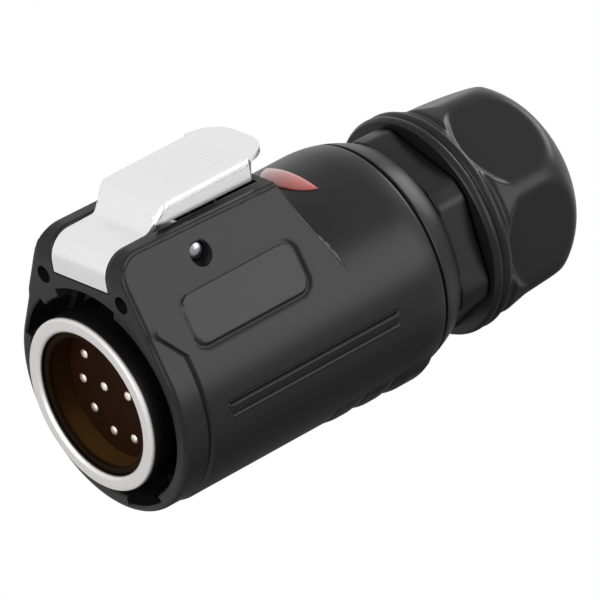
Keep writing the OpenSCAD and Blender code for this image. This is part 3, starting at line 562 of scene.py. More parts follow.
def shell_values():
    """Shell sizes with the places that follow from them, from the latch and from the CAD frame."""
    s = in_mm(bpy.context.scene.plug_shell)
    low, high = node_box("shell")
    s.x0 = low[0]
    s.x1 = high[0]
    s.collar_x1 = s.x0 + s.collar_len
    s.dome_x = s.x1 - s.dome_len
    s.block_x1 = s.x0 + s.block_len
    s.groove_x = s.x1 - s.groove_back
    s.rim_edge = 0.3
    s.sweep_z = (9.0, 14.4)  # heights between which the collar's rear line sweeps forward
    s.tail_z = 6.8  # height of the foot of the block's sloping rear
    s.rib_angles = np.radians([0.6, -4.6])
    s.keys = ((90, 23), (36, 15), (251, 15))  # middle and half width of each keyway in degrees
    latch = latch_values()
    s.channel_x1 = s.x0 + latch.skirt_end + 1.2
    s.pivot = latch.pivot
    s.pin_r = latch.pin_r
    s.trough_r = latch.pin_r + 1.6
    s.pin_half = node_box("latch_pin")[1][1]
    side = latch.hook_w + 0.25
    s.pocket = ((latch.hook_x[0] - 0.5, -side), (latch.hook_x[1] + 0.5, side))
    s.seat_r = latch.spring_r + 0.5
    return s


def front_inset(x, s):
    """Inset of the rounded front edge: a quarter circle from the front face."""
    ahead = np.clip(s.front_edge - (x - s.x0), 0, s.front_edge)
    return s.front_edge - np.sqrt(s.front_edge ** 2 - ahead ** 2)


def cheek_top(x, s):
    """Height of the latch block: a quarter circle at the nose, a gentle fall, then a slope to the barrel."""
    ahead = np.clip(s.x0 + s.nose_r - x, 0, s.nose_r)
    nose = s.nose_r - np.sqrt(s.nose_r ** 2 - ahead ** 2)
    tail = s.block_x1 + s.block_tail
    back = np.interp(x, [s.x0 + s.nose_r, s.block_x1, tail, tail + 0.01],
                     [s.block_top, s.block_top - s.block_fall, s.tail_z, 0])
    return back - nose


def plaque_edge(x, a, s):
    """Distance outside the side plaque's outline on the sloping side, and how far a place belongs to its rear
    and lower edges: a rectangle with round corners, along X and up the slope."""
    lean = np.maximum(a - s.side_lean, 0)
    across = s.barrel_r * np.tan(lean) - s.plaque_rise - s.plaque_h / 2
    along = x - s.x0 - s.plaque_start - s.plaque_len / 2
    over_y = np.abs(across) - s.plaque_h / 2 + s.plaque_corner
    over_x = np.abs(along) - s.plaque_len / 2 + s.plaque_corner
    out_y = np.maximum(over_y, 0)
    out_x = np.maximum(over_x, 0)
    out = np.hypot(out_x, out_y)
    edge = out - s.plaque_corner + np.minimum(np.maximum(over_x, over_y), 0)
    lower, least = 0.7, 0.15  # share of the lower edge, and of the front and upper edges
    side = np.maximum(np.where(along > 0, out_x, 0), np.where(across < 0, lower * out_y, 0))
    return edge, np.clip(side / np.maximum(out, 0.01), least, 1)


def plaque_share(x, a, s):
    """Share of the side plaque's step, from 0 beside it to 1 on it."""
    soft = 0.12
    return 1 - smooth_step(-soft, soft, plaque_edge(x, a, s)[0])


def past_rib(x, s):
    """Distance past the side ribs' ends along X, 0 beside them."""
    return np.maximum(np.maximum(s.x0 + s.rib_start - x, x - s.x0 - s.rib_start - s.rib_len), 0)


def shell_lines(x, a, s):
    """Hollow lines of the skin from 0 to 1, bell curves across: the plaque's ditch, a line above each rib.
    They set the grooves' depth and the painted shade in them.
    """
    edge, side = plaque_edge(x, a, s)
    lines = side * np.exp(-((edge - s.ditch_w / 2) / (s.ditch_w / 2)) ** 2)
    ends = np.exp(-(past_rib(x, s) / s.rib_r) ** 2)
    above, width = 1.35 * s.rib_r, 0.45 * s.rib_r
    for rib, share in zip(s.rib_angles, RIB_LINES):
        off = s.barrel_r * (a - rib) - above
        lines = lines + share * ends * np.exp(-(off / width) ** 2)
    return np.minimum(lines, 1)


def finger_ridges(x, base, s):
    """Height of the finger ridges above the barrel's skin: each rises to a level top, grows towards the rear
    and ends in a crease, and the last one runs out over the dome."""
    crease_w, crease_depth = np.sqrt(0.0012), 1.2  # in pitches, and in heights of the first ridge
    turn = (x - s.x0 - s.grip_start) / s.grip_pitch
    tail = s.grip_tail / s.grip_pitch
    number = np.arange(GRIP_RIDGES)[:, None]
    knots = number + np.array(RIDGE_RUN)
    knots[-1, 2:] = knots[-1, 2] + tail, GRIP_RIDGES + tail
    heights = (s.grip_h + s.grip_growth * number) * RIDGE_SHAPE
    ridge = np.interp(turn, knots.ravel(), heights.ravel())
    bare = np.where(x > s.dome_x, s.barrel_r - base, 0) * smooth_step(0, 0.3, ridge)
    creased = (turn > -0.2) & (turn < GRIP_RIDGES - 0.5)
    crease = creased * np.exp(-(((turn + 0.5) % 1 - 0.5) / crease_w) ** 2)
    return ridge + bare - crease_depth * s.grip_h * crease


def shell_radius(x, a, s):
    """Distance of the shell's skin from the axis at x and angle a: collar, step and domed barrel, the larger
    of barrel and latch block above, less the groove, plus the plaque, ribs and finger ridges."""
    no_step, no_line, crisp = s.x0 - 2, 9.0, 0.001  # places out of reach, and the width of a sharp crease
    above = a > s.side_lean
    lean = np.where(above, a - s.side_lean, 0)
    lift = 1 / np.cos(lean)
    side_z = s.barrel_r * lift * np.sin(a)
    step_x = np.where(
        side_z > s.sweep_z[1], no_step, np.interp(side_z, s.sweep_z, [s.collar_x1, s.x0]))
    strength = smooth_step(s.x0 + 0.5, s.x0 + 1.7, step_x)
    base = s.barrel_r + s.collar_step * strength * np.interp(x - step_x, STEP_RUN, STEP_FALL)
    base = np.minimum(base, np.sqrt(s.barrel_r ** 2 - np.maximum(x - s.dome_x, 0) ** 2))
    half_w = s.groove_w / 2
    off = np.abs(x - s.groove_x)
    base = base - s.groove_depth * (1 - smooth_step(half_w - GROOVE_SOFT, half_w + GROOVE_SOFT, off))
    top = cheek_top(x, s) / np.sin(np.where(above, a, np.pi / 2))
    below_top = np.where(x < s.block_x1, top - base * lift, no_line)
    line = s.line_depth * np.exp(-((below_top - s.line_drop) / s.line_w) ** 2)
    corner = s.corner + (s.tail_corner - s.corner) * smooth_step(s.block_x1 - 0.3, s.block_x1 + 1.5, x)
    block = np.where(above, smooth_min(base * lift, top, corner) - line, base)
    behind = smooth_step(s.block_x1 - 1, s.block_x1 + 0.5, x) * smooth_step(0.1, 0.35, lean)
    radius = -smooth_min(-base, -block, s.tail_soft * behind + crisp)
    radius = radius + s.plaque_proud * plaque_share(x, a, s) * lift - s.ditch_depth * shell_lines(x, a, s)
    for rib in s.rib_angles:
        off = np.hypot(s.barrel_r * (a - rib), past_rib(x, s))
        radius = radius + np.sqrt(np.maximum(s.rib_r ** 2 - off ** 2, 0))
    below = smooth_step(*GRIP_SINES, np.sin(a))
    return radius + below * finger_ridges(x, base, s) - front_inset(x, s)


def swept_rows(x, a, s):
    """Places of the skin's points: rows near the collar's rear line lean forward with it up the block's side,
    and come back above it."""
    lean = np.maximum(a - s.side_lean, 0)
    side_z = s.barrel_r / np.cos(lean) * np.sin(a)
    front, back_z, straight_x = s.x0 + 1.3, 19.5, 9.0
    front_z = np.interp(front, [s.x0, s.collar_x1], s.sweep_z[::-1])
    line = np.interp(side_z, [s.sweep_z[0], front_z, back_z], [s.collar_x1, front, s.collar_x1])
    knots = [s.x0 + s.front_edge, s.collar_x1 - 0.5, s.collar_x1 + 0.5, straight_x]
    return x + np.interp(x, knots, [0, 1, 1, 0]) * (line - s.collar_x1)


def shell_columns(s):
    """Angles of the skin's columns below the cheeks' corners, closest where details need them."""
    ribs = [(rib - 1.45, rib + 2.85, 16) for rib in np.degrees(s.rib_angles)]
    degrees = stations(
        (67.5, 54, 12), (54, 50.5, 12), (50.5, 33, 14), (33, 29.5, 12), (29.5, 3.9, 18), *ribs,
        (-6.4, -38, 16), (-38, -50, 10), (-50, -90, 20))
    doubled = [d + e for d in (67.0, 51.0, 21.0, -56.0, -86.0) for e in (-0.1, 0.1)]
    return np.radians(np.unique(np.concatenate([degrees, doubled]))[::-1])


def shell_rows(s):
    """Places of the skin's rows along X, closest at the collar's rear line, the plaque's ends, the feet of
    the finger ridges and the groove. Each stop has the steps that lead to it."""
    plaque = s.x0 + s.plaque_start
    plaque_x1 = plaque + s.plaque_len
    ridges = s.x0 + s.grip_start + s.grip_pitch * np.arange(GRIP_RIDGES)
    stops = [
        (s.x0 + s.front_edge, 0), (s.collar_x1 - 0.5, 10), (s.collar_x1 + 0.5, 20), (plaque - 0.15, 6),
        (plaque + 2.15, 16), (plaque_x1 - 2.35, 22), (plaque_x1 + 0.45, 18), (ridges[0] - 0.6, 7),
        (ridges[0] + 0.6, 10), (ridges[1] - 0.75, 14), (ridges[1] + 0.65, 12), (ridges[2] - 0.7, 14),
        (ridges[2] + 0.6, 10), (s.groove_x - 0.4, 20), (s.groove_x + 0.4, 12), (s.x1 - s.rim_edge, 12)]
    x = stations(*[(start, end, steps) for (start, _), (end, steps) in zip(stops, stops[1:])])
    edge = s.front_edge * (1 - np.cos(np.radians(np.arange(0, 90, 12.0))))
    channel_end = [s.channel_x1 - 0.01, s.channel_x1 + 0.01]
    return np.unique(np.concatenate([s.x0 + edge, x, channel_end]))[:, None]


def shell_outside(s):
    """Rows of the shell's outside. Each runs once around: channel floor, wall, rounded edge, then the skin by
    angle to the bottom and back up. Also the numbers of points across the channel and down to its cheek."""
    x = shell_rows(s)
    fixed = shell_columns(s)
    front = x < s.channel_x1
    half = np.full_like(x, s.channel_w)
    top = cheek_top(x, s) - front_inset(x, s)
    dip = np.maximum(s.trough_r ** 2 - (x - s.pivot[0]) ** 2, 0)
    floor = np.minimum(s.channel_floor, np.where(dip > 0, s.pivot[1] - np.sqrt(dip), s.channel_floor))
    soft = np.minimum(s.channel_edge, (top - floor) / 3)
    crest = np.radians(73.0)  # where the skin's columns begin behind the channel
    first = np.where(front, np.arctan2(top, half + soft), crest)
    t = np.linspace(0, 1, FLOOR_POINTS)[None]
    u = np.array([0.3, 0.7])[None]
    arc = np.linspace(0, np.pi / 2, 6)[None]
    y_cut = np.concatenate([half * t, half + 0 * u, half + soft * (1 - np.cos(arc))], 1)
    z_cut = np.concatenate(
        [floor + 0 * t, floor + (top - soft - floor) * u, top - soft * (1 - np.sin(arc))], 1)
    across = y_cut.shape[1]
    spread = np.pi / 2 + (first - np.pi / 2) * np.linspace(0, 1, across)[None]
    r_cut = shell_radius(x, spread, s)
    y_cut = np.where(front, y_cut, r_cut * np.cos(spread))
    z_cut = np.where(front, z_cut, r_cut * np.sin(spread))
    v = stations((0.06, 0.5, 6), (0.5, 0.86, 18), (0.86, 0.96, 2))[None]
    a = np.concatenate([first + (fixed[0] - first) * v, np.broadcast_to(fixed, (len(x), len(fixed)))], 1)
    swept = swept_rows(x, a, s)
    r = shell_radius(swept, a, s)
    y = np.concatenate([y_cut, r * np.cos(a)], 1)
    z = np.concatenate([z_cut, r * np.sin(a)], 1)
    y[:, -1] = 0
    outer = np.stack([np.concatenate([np.broadcast_to(x, y_cut.shape), swept], 1), y, z], -1)
    mirror = outer[:, -2:0:-1] * [1, -1, 1]
    return np.concatenate([outer, mirror], 1), across, v.shape[1]


def shell_grid(s):
    """Closed grid of the shell: rows along the outside, over the rear rim, back through the bores and out
    over the front face."""
    outer, across, cheek = shell_outside(s)
    rim = outer[-1:].copy()
    rim[:, :, 1:] *= 1 - s.rim_edge / np.linalg.norm(rim[:, :, 1:], axis=-1, keepdims=True)
    rim[:, :, 0] = s.x1
    half = np.concatenate([
        np.linspace(90, 68.4, FLOOR_POINTS), np.linspace(68.2, 67.9, across - FLOOR_POINTS),
        np.linspace(67.85, 67.55, cheek), np.degrees(shell_columns(s))])
    around = np.concatenate([half, 180 - half[-2:0:-1]])
    keyed = np.zeros(len(around), bool)
    for middle, width in s.keys:
        keyed |= np.abs((around - middle + 180) % 360 - 180) < width
    key_x = s.x0 + s.key_len
    bores = [  # front end and radius of each bore, from the rear
        (node_box("body_seal")[0][0], 13.0),
        (46.4, 12.1),  # thread of the gland body
        (24.0, 13.2),  # chamber for the wires
        (node_box("rear_insulator")[1][0], 11.55),
        (node_box("coupling_ring")[1][0], 12.5),
        (key_x + 0.01, s.bore_r)]
    starts = [s.x1] + [end for end, _ in bores]
    mouth = 0.25
    profile = np.array(
        [[x, r, 0] for start, (end, r) in zip(starts, bores) for x in (start, end)]
        + [[key_x, s.bore_r, 1], [s.x0 + mouth, s.bore_r, 1], [s.x0, s.bore_r + mouth, 1]])
    depth = profile[:, 1:2] + profile[:, 2:3] * s.key_depth * keyed[None]
    inner = around_x(profile[:, :1], depth, np.radians(around)[None])
    share = np.array([0.3, 0.65])[:, None, None]
    face = inner[-1:] * (1 - share) + outer[:1] * share
    return np.concatenate([outer, rim, inner, face])


class PLUG_OT_shell(bpy.types.Operator):
    """Shell as one closed lofted grid, with its holes carved out"""

    bl_idname = "plug.shell"
    bl_label = "Build shell"

    def execute(self, context):
        s = shell_values()
        mesh = mesh_from("shell_skin", [(shell_grid(s), True, True, False)])
        colours = context.scene.plug_colours
        plastic = finish(
            "shell_plastic", colours.shell, 0.33, grain=0.25, depth=0.006, mottle=0.04, specular=0.2)
        # lighter tone over the raised plaque
        fade_marked(plastic, "plaque", colours.plaque)
        # painted shade in the plaque's ditch and above the ribs
        fade_marked(plastic, "lines", colours.lines)
        body = carve(mesh, self.holes(s))
        self.mark(body, s)
        add_piece("shell_body", body, "plug", "shell_plastic", ["shell"], 30)
        return {"FINISHED"}

    def holes(self, s):
        """Solids to carve out: core holes, the pin's stepped bore, the hook's pocket, the spring's seat."""
        core_r, core_y, core_z, core_depth = 1.3, 8.36, 16.8, 5.0
        holes = [
            extruded(circle(core_r, (side * core_y, core_z), 40), s.x0 - 1, s.x0 + core_depth, "x")
            for side in (-1, 1)]
        tight, wide, beyond = s.pin_r + 0.03, s.pin_r + 0.28, 14.0
        end = s.pin_half - 0.05
        half = np.array([[end, tight], [end, wide], [beyond, wide], [beyond, 0]])
        bore = np.concatenate([half[::-1] * [-1, 1], half])
        holes.append(turned_across(bore, 48, s.pivot, ring=False))
        pocket_floor, above = 12.0, s.channel_floor + 0.85
        holes.append(extruded(rectangle(*s.pocket), pocket_floor, above, "z"))
        low, high = node_box("latch_spring")
        holes.append(extruded(circle(s.seat_r, (low + high)[:2] / 2), low[2], above, "z"))
        return holes

    def mark(self, mesh, s):
        """Marks of the plaque's lighter tone and of the painted shade in the hollow lines on the mesh, from 0
        to 1, for the finish.
        """
        x, y, z = places(mesh)
        a = np.arctan2(z, np.abs(y))
        skin = np.hypot(y, z) > s.bore_r + 1
        add_mark(mesh, "plaque", skin * plaque_share(x, a, s))
        # the mark for the painted shade of the hollow lines
        add_mark(mesh, "lines", skin * shell_lines(x, a, s))


def latch_sheet(p):
    """Top surface of the lever as a grid: a lip, a bend, the saddle, a cosine rise and the thumb plate along
    its length; across it a flat that folds down at the sides over the plate."""
    bend_x = p.x0 + p.bend_r
    rise_x = p.x0 + p.rise_start
    flat_x = rise_x + p.rise_len
    skirt_x = p.x0 + p.skirt_start
    skirt_x1 = p.x0 + p.skirt_end
    corner_x = p.x1 - p.plate_corner
    a = np.radians(np.linspace(180, 90, 14))
    lip = np.stack([np.full(4, p.x0), np.linspace(p.lip_z, p.saddle_z - p.bend_r, 5)[:-1]], -1)
    bend = np.stack([bend_x + p.bend_r * np.cos(a), p.saddle_z - p.bend_r + p.bend_r * np.sin(a)], -1)
    ridges = p.ridge_x[:, None] + np.linspace(-p.ridge_r, p.ridge_r, 7)[None]
    x = stations((bend_x, rise_x, 6), (rise_x, flat_x, 24), (flat_x, corner_x, 24),
                 (skirt_x1 - 0.02, skirt_x1 + 0.02, 1))
    corner = p.x1 - p.plate_corner * (1 - np.sin(np.radians(np.arange(0, 91, 7.5))))
    x = np.unique(np.round(np.concatenate([x, corner, ridges.ravel()]), 4))[1:]
    lift = (1 - np.cos(np.pi * np.clip((x - rise_x) / p.rise_len, 0, 1))) / 2
    top = np.stack([x, p.saddle_z + (p.plate_z - p.saddle_z) * lift], -1)
    path = np.concatenate([lip, bend, top])
    x = path[:, :1]
    z = path[:, 1:]
    half = p.saddle_w + (p.plate_w - p.saddle_w) * smooth_step(skirt_x - 1.2, skirt_x + 2, x)
    ahead = np.clip(x - corner_x, 0, p.plate_corner)
    half = half - p.plate_corner + np.sqrt(p.plate_corner ** 2 - ahead ** 2)
    share = np.clip((x - skirt_x) / (p.skirt_end - p.skirt_start), 0, 1)
    foot = p.skirt_front_z + (p.skirt_rear_z - p.skirt_front_z) * share
    folded = (x > skirt_x) & (x < skirt_x1)
    drop = np.where(folded, np.maximum(z - foot, 0), 0)
    fold = np.minimum(p.fold_r, drop)
    t = np.linspace(0, 1, 14)[None]
    b = np.radians(np.linspace(0, 90, 6))[None, 1:]
    groove = [0.03, 0.08, 0.16, 0.21]
    d = np.array([*groove, 0.4, 0.7, 1.0])[None]
    line = p.fold_line * np.minimum(drop - fold, 1) * np.interp(d, groove, [0, 1, 1, 0])
    y = np.concatenate([(half - fold) * t, half - fold + fold * np.sin(b), half - line], 1)
    low = np.concatenate([0 * t + 0 * half, fold * (1 - np.cos(b)), fold + (drop - fold) * d], 1)
    off = np.min(np.abs(x - p.ridge_x[None]), axis=1, keepdims=True)
    off = np.hypot(off, np.maximum(np.abs(y) - p.ridge_half, 0))
    ridge = np.sqrt(np.maximum(p.ridge_r ** 2 - off ** 2, 0)) * p.grip_h / p.ridge_r
    ridge = np.where(x > flat_x, ridge, 0)
    right = np.stack([np.broadcast_to(x, y.shape), y, z - low + ridge], -1)
    return np.concatenate([right[:, :0:-1] * [1, -1, 1], right], 1)


class PLUG_OT_latch(bpy.types.Operator):
    """Latch lever, its barrel and hook, the pivot pin and the return spring"""

    bl_idname = "plug.latch"
    bl_label = "Build latch"

    def execute(self, context):
        p = latch_values()
        colours = context.scene.plug_colours
        finish("latch_metal", colours.latch, 0.28, metallic=0.85, grain=0.5, mottle=0.02, rough_range=0.02)
        finish("pin_steel", colours.steel, 0.3, metallic=1.0, grain=0.3, mottle=0.08)
        finish("spring_steel", colours.spring, 0.4, metallic=1.0, grain=0.3, mottle=0.08)
        self.add_lever(p)
        self.add_pin(p)
        self.add_spring(p)
        return {"FINISHED"}

    def add_lever(self, p):
        """Lever of sheet metal with soft edges, and the barrel, hook and web under it."""
        sheet = mesh_from("lever_sheet", [(latch_sheet(p), False, False, False)])
        lever = add_piece("latch_lever", sheet, "latch", "latch_metal", ["latch"], 60)
        if sheet.polygons[0].normal.x > 0:
            sheet.flip_normals()
        thick = lever.modifiers.new("thickness", "SOLIDIFY")
        thick.thickness = p.sheet_t * MM
        thick.offset = -1
        soft = lever.modifiers.new("edges", "BEVEL")
        soft.width = 0.28 * MM
        soft.segments = 3
        soft.limit_method = "ANGLE"
        soft.angle_limit = np.radians(50)
        gap, wall = 0.04, 1.35
        barrel = rounded(rectangle((-p.saddle_w, p.pin_r + gap), (p.saddle_w, p.pin_r + wall)), 0.3)
        hook_x0, hook_x1 = p.hook_x
        root_z = p.saddle_z - 0.65
        hook = rounded([
            [hook_x0, p.hook_z], [hook_x1 - 0.75, p.hook_z], [hook_x1, p.hook_z + 0.9], [hook_x1, root_z],
            [hook_x0, root_z]], 0.25)
        web_t, web_z0, web_z1 = 1.3, p.pivot_z + 2.2, p.plate_z - p.sheet_t - 0.1
        web = rectangle((p.pivot[0] - web_t, web_z0), (p.pivot[0] + web_t, web_z1))
        under = mesh_from("lever_under", [
            turned_across(barrel, 48, p.pivot), extruded(hook, -p.hook_w, p.hook_w, "y"),
            extruded(web, -p.web_w, p.web_w, "y")])
        add_piece("latch_barrel", under, "latch", "latch_metal")

    def add_pin(self, p):
        """Round pin with domed ends, quarter ellipses."""
        end, bow = node_box("latch_pin")[1][1], 0.9
        a = np.radians(np.linspace(0, 90, 9))
        dome = np.stack([end - bow + bow * np.cos(a), p.pin_r * np.sin(a)], -1)
        profile = np.concatenate([dome * [-1, 1], dome[::-1]])
        pin = mesh_from("pin", [turned_across(profile, 40, p.pivot, ring=False)])
        add_piece("latch_pivot_pin", pin, "plug", "pin_steel", ["latch_pin"])

    def add_spring(self, p):
        """Round wire along a helix with flat end turns."""
        low, high = node_box("latch_spring")
        middle = (low + high) / 2
        height = high[2] - low[2]
        turns, press = 7, np.radians(3)
        t = np.linspace(0, turns, turns * 28 + 1)[:, None]
        rise = [0, 2 * p.wire_r, height - 4 * p.wire_r, height - 2 * p.wire_r]
        z = low[2] + p.wire_r + np.interp(t, [0, 1, turns - 1, turns], rise)
        a = 2 * np.pi * t
        b = full_turn(12)[None]
        r = p.spring_r - p.wire_r + p.wire_r * np.cos(b)
        grid = np.stack([
            middle[0] + r * np.cos(a), middle[1] + r * np.sin(a), z + p.wire_r * np.sin(b)], -1)
        wire = mesh_from("spring_wire", [(grid, False, True, True)])
        spring = add_piece("return_spring", wire, "plug", "spring_steel", ["latch_spring"])
        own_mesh(spring)


class PLUG_OT_indicator(bpy.types.Operator):
    """Red domed insert on the barrel, with a bowed front edge and a straight rear edge"""

    bl_idname = "plug.indicator"
    bl_label = "Build lock indicator"

    def execute(self, context):
        low, high = node_box("lock_indicator")
        s = in_mm(context.scene.plug_shell)
        edge, depth = 0.06, 0.9
        half_l = high[1]
        wide = high[0] - low[0] + s.lens_bulge
        bow = (half_l ** 2 + wide ** 2) / (2 * wide)
        y = half_l * np.sin(np.linspace(-np.pi / 2, np.pi / 2, 61))[:, None]
        half = np.maximum(np.sqrt(bow ** 2 - y ** 2) - bow + wide, 2e-4) / 2
        u = np.sin(np.linspace(-np.pi / 2, np.pi / 2, 25))[None]
        crown = high[2] - s.barrel_r - edge
        height = edge + crown * np.sqrt(np.maximum(1 - u ** 2, 0)) * np.sqrt(2 * half / wide)
        foot = np.full_like(half, s.barrel_r - depth)
        r = np.concatenate([foot, s.barrel_r + height, foot], 1)
        x = high[0] - half + half * np.concatenate([u[:, :1], u, u[:, -1:]], 1)
        tilt = np.arcsin(y / (s.barrel_r + 0.2))
        grid = np.stack([x, r * np.sin(tilt), r * np.cos(tilt)], -1)
        finish("indicator_plastic", context.scene.plug_colours.red, 0.2, grain=0.8, mottle=0.08, coat=1.0)
        lens = mesh_from("indicator_lens", [(grid, False, True, True)])
        add_piece("red_indicator", lens, "plug", "indicator_plastic", ["lock_indicator"], 50)
        return {"FINISHED"}


class PLUG_OT_front(bpy.types.Operator):
    """Coupling ring, front seal, insert and contacts"""

    bl_idname = "plug.front"
    bl_label = "Build front"

    def execute(self, context):
        colours = context.scene.plug_colours
        self.add_ring(colours)
        self.add_insert(colours)
        finish("contact_metal", colours.contact, 0.35, metallic=0.7, mottle=0.05)
        for node in sorted(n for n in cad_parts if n.startswith("contact_")):
            low, high = node_box(node)
            pin = self.pin_outline(low[0], high[0])
            add_turned("pin_" + node[-2:], pin, "plug", "contact_metal", node, 32, (low + high)[1:] / 2,
                       False, 40)
        return {"FINISHED"}

    def add_ring(self, colours):
        """Coupling ring with a flared rim, with painted shade darkening its side behind the rim, and the flat
        seal around it.
        """
        rim_r, neck_r, flange_r, bore_r, flare = 12.9, 12.75, 14.6, 10.75, 0.4
        ring = finish("ring_metal", colours.ring, 0.42, metallic=0.85, grain=0.5, depth=0.006, mottle=0.05,
                      stretch=(0.2, 1, 1))
        # painted shade: the ring's side behind the rim turns near black
        fade_along(ring, "X", colours.dark_ring, start=0.25, end=0.8)
        x0, x1 = (corner[0] for corner in node_box("coupling_ring"))
        low, high = node_box("front_seal")
        flange_x = node_box("ring_retainer")[1][0]
        profile = rounded([
            [x0, bore_r + flare], [x0, rim_r], [low[0], rim_r], [low[0], neck_r], [flange_x, neck_r],
            [flange_x, flange_r], [x1, flange_r], [x1, bore_r], [x0 + flare, bore_r]],
            [0.2, 0.55, 0.05, 0.05, 0.05, 0.3, 0.3, 0.1, 0.2])
        add_turned("front_ring", profile, "plug", "ring_metal", "coupling_ring", 160, sharp_deg=28)
        rubber_finish(colours)
        seal = rounded(rectangle((low[0], rim_r + 0.05), (high[0], -low[2])), 0.35)
        add_turned("gap_seal", seal, "plug", "seal_rubber", "front_seal", 128)

    def add_insert(self, colours):
        """Brown cup that carries the contacts: painted shade darkens its edge and floor, and a painted amber
        highlight lies on its lower part.
        """
        cup_r, floor_x, soft, wall_r = 9.7, 4.75, 0.04, 10.7
        low, high = node_box("insert")
        flange_x, flange_r = node_box("coupling_ring")[1][0], -low[2]
        brown = finish("insert_plastic", colours.insert, 0.6, grain=3.0, mottle=0.2, specular=0.03)
        # painted highlight: amber on the cup's lower part
        fade_along(brown, "Z", colours.amber, start=-1, end=-10)
        # painted shade: darker at the cup's floor
        fade_along(brown, "X", colours.deep, start=floor_x - 0.45, end=floor_x - 0.01)
        # painted shade: darker at the cup's front edge
        fade_along(brown, "X", colours.brim, start=low[0] + 1.0, end=low[0] + 0.2)
        cup = rounded([
            [floor_x, 0], [floor_x, cup_r - soft], [floor_x - soft, cup_r], [low[0], cup_r], [low[0], wall_r],
            [flange_x, wall_r], [flange_x, flange_r], [high[0], flange_r], [high[0], 0]],
            [0, 0.02, 0.02, 0.3, 0.25, 0.05, 0.2, 0.2, 0])
        add_turned("pin_insert", cup, "plug", "insert_plastic", "insert", 128, ring=False, sharp_deg=40)

    def pin_outline(self, x0, x1):
        """Outline of a contact: a rounded tip, a plain pin, a shoulder behind the insert and a solder cup."""
        pin_r, shoulder_r, shoulder_len, tail_r, cup_r, cup_len = 0.9, 1.3, 1.4, 1.0, 0.7, 4.9
        seat_x = node_box("insert")[1][0]
        tip = np.array(
            [[0, 0], [0.01, 0.25], [0.05, 0.45], [0.12, 0.6], [0.25, 0.7], [0.6, 0.75], [0.8, pin_r]])
        rest = [
            [seat_x - shoulder_len, pin_r], [seat_x - shoulder_len, shoulder_r], [seat_x, shoulder_r],
            [seat_x, tail_r], [x1 - 0.15, tail_r], [x1, tail_r - 0.05], [x1, cup_r + 0.02],
            [x1 - cup_len, cup_r], [x1 - cup_len - 0.1, 0]]
        return np.concatenate([tip + [x0, 0], rest])


def gland_grid(g, x0, hex_x, sleeve_x):
    """Grid of the gland body: spigot, hexagon with blunted corners and softened ends, sleeve with a helical
    thread whose depth is a triangle wave of x over the pitch less the turn, then the bores back to the
    front."""
    wire_r, cage_r, cage_x, chamfer, soft = 8.0, 9.5, node_box("clamp_cage")[0][0], 0.4, 0.35
    a = full_turn(240)[None]
    off = (np.pi - a - g.hex_turn + np.pi / 6) % (np.pi / 3) - np.pi / 6
    to_corner = np.pi / 6 - np.abs(off)
    hexagon = smooth_min(g.hex_flat / np.cos(off), g.hex_corner / np.cos(to_corner), 0.25)
    b = np.radians(np.linspace(0, 90, 5))[:, None]
    front = hexagon - soft * (1 - np.sin(b))
    front_x = hex_x[0] + soft * (1 - np.cos(b))
    back_x = hex_x[1] - soft * (1 - np.cos(b[::-1]))
    thread_x = np.arange(hex_x[1] + 0.02, sleeve_x - 0.6, g.thread_pitch / 12)[:, None]
    phase = (thread_x / g.thread_pitch - a / (2 * np.pi)) % 1
    wave = np.clip(np.abs(2 * phase - 1) * 1.5 - 0.25, 0, 1)
    fade = smooth_step(hex_x[1] + 0.5, hex_x[1] + 1.5, thread_x)
    thread = g.sleeve_r - g.thread_h * wave * fade
    core_r = g.sleeve_r - g.thread_h
    plain = np.array([
        [x0, wire_r], [x0, g.sleeve_r - chamfer], [x0 + chamfer, g.sleeve_r], [hex_x[0], g.sleeve_r]])
    rear = np.array([
        [sleeve_x - chamfer, core_r], [sleeve_x, core_r - chamfer], [sleeve_x, cage_r], [cage_x, cage_r],
        [cage_x, wire_r]])
    one = np.ones_like(a)
    r = np.concatenate([plain[:, 1:] * one, front, front[::-1], thread, rear[:, 1:] * one])
    x = np.concatenate([plain[:, :1], front_x, back_x, thread_x, rear[:, :1]])
    return around_x(x, r, a)


def nut_body(x, g, nut):
    """Distance of the nut's ridges from the axis: a taper with a hollow line behind the flange, closed by a
    domed end, which is part of a quarter arc."""
    flange_x1 = nut[0] + g.flange_len
    ridge_x = flange_x1 + g.fillet_len
    tail_x = nut[1] - g.dome_len
    taper = (g.ridge_r - g.tail_r) / (tail_x - ridge_x)
    start = np.sin(g.dome_slope)
    share = np.clip(start + (1 - start) * (x - tail_x) / g.dome_len, 0, 1)
    dome = g.tail_r - g.dome_h * (1 - np.sqrt(1 - share ** 2) / np.cos(g.dome_slope))
    neck = g.neck_depth * np.exp(-((x - flange_x1 - 0.35) / 0.5) ** 2)
    return smooth_min(g.ridge_r - taper * (x - ridge_x), dome, g.tail_soft) - neck


def nut_flat(x, a, g, nut):
    """Distance of the nut's six flats from the axis: leaning planes that end in front along a bowed edge."""
    ridge_x = nut[0] + g.flange_len + g.fillet_len
    off = (np.pi - a - g.nut_turn + np.pi / 6) % (np.pi / 3) - np.pi / 6
    plane = g.flat_r - np.tan(g.flat_lean) * (x - ridge_x)
    bow_x = ridge_x - g.flat_lead + g.flat_bow
    reach = np.hypot(np.minimum(x - bow_x, 0), plane * np.tan(off))
    return (plane + np.maximum(reach - g.flat_bow, 0)) / np.cos(off)


def nut_radius(x, a, g, nut):
    """Outside of the nut: two beads on the flange, then the smaller of body and flats with a soft edge."""
    wave = np.abs(2 * (x - nut[0]) / g.flange_len % 1 - 0.5) * 2
    flange = g.flange_r - g.bead_h * wave ** 2
    body = smooth_min(nut_body(x, g, nut), nut_flat(x, a, g, nut), g.flat_soft)
    return np.where(x < nut[0] + g.flange_len, flange, body)


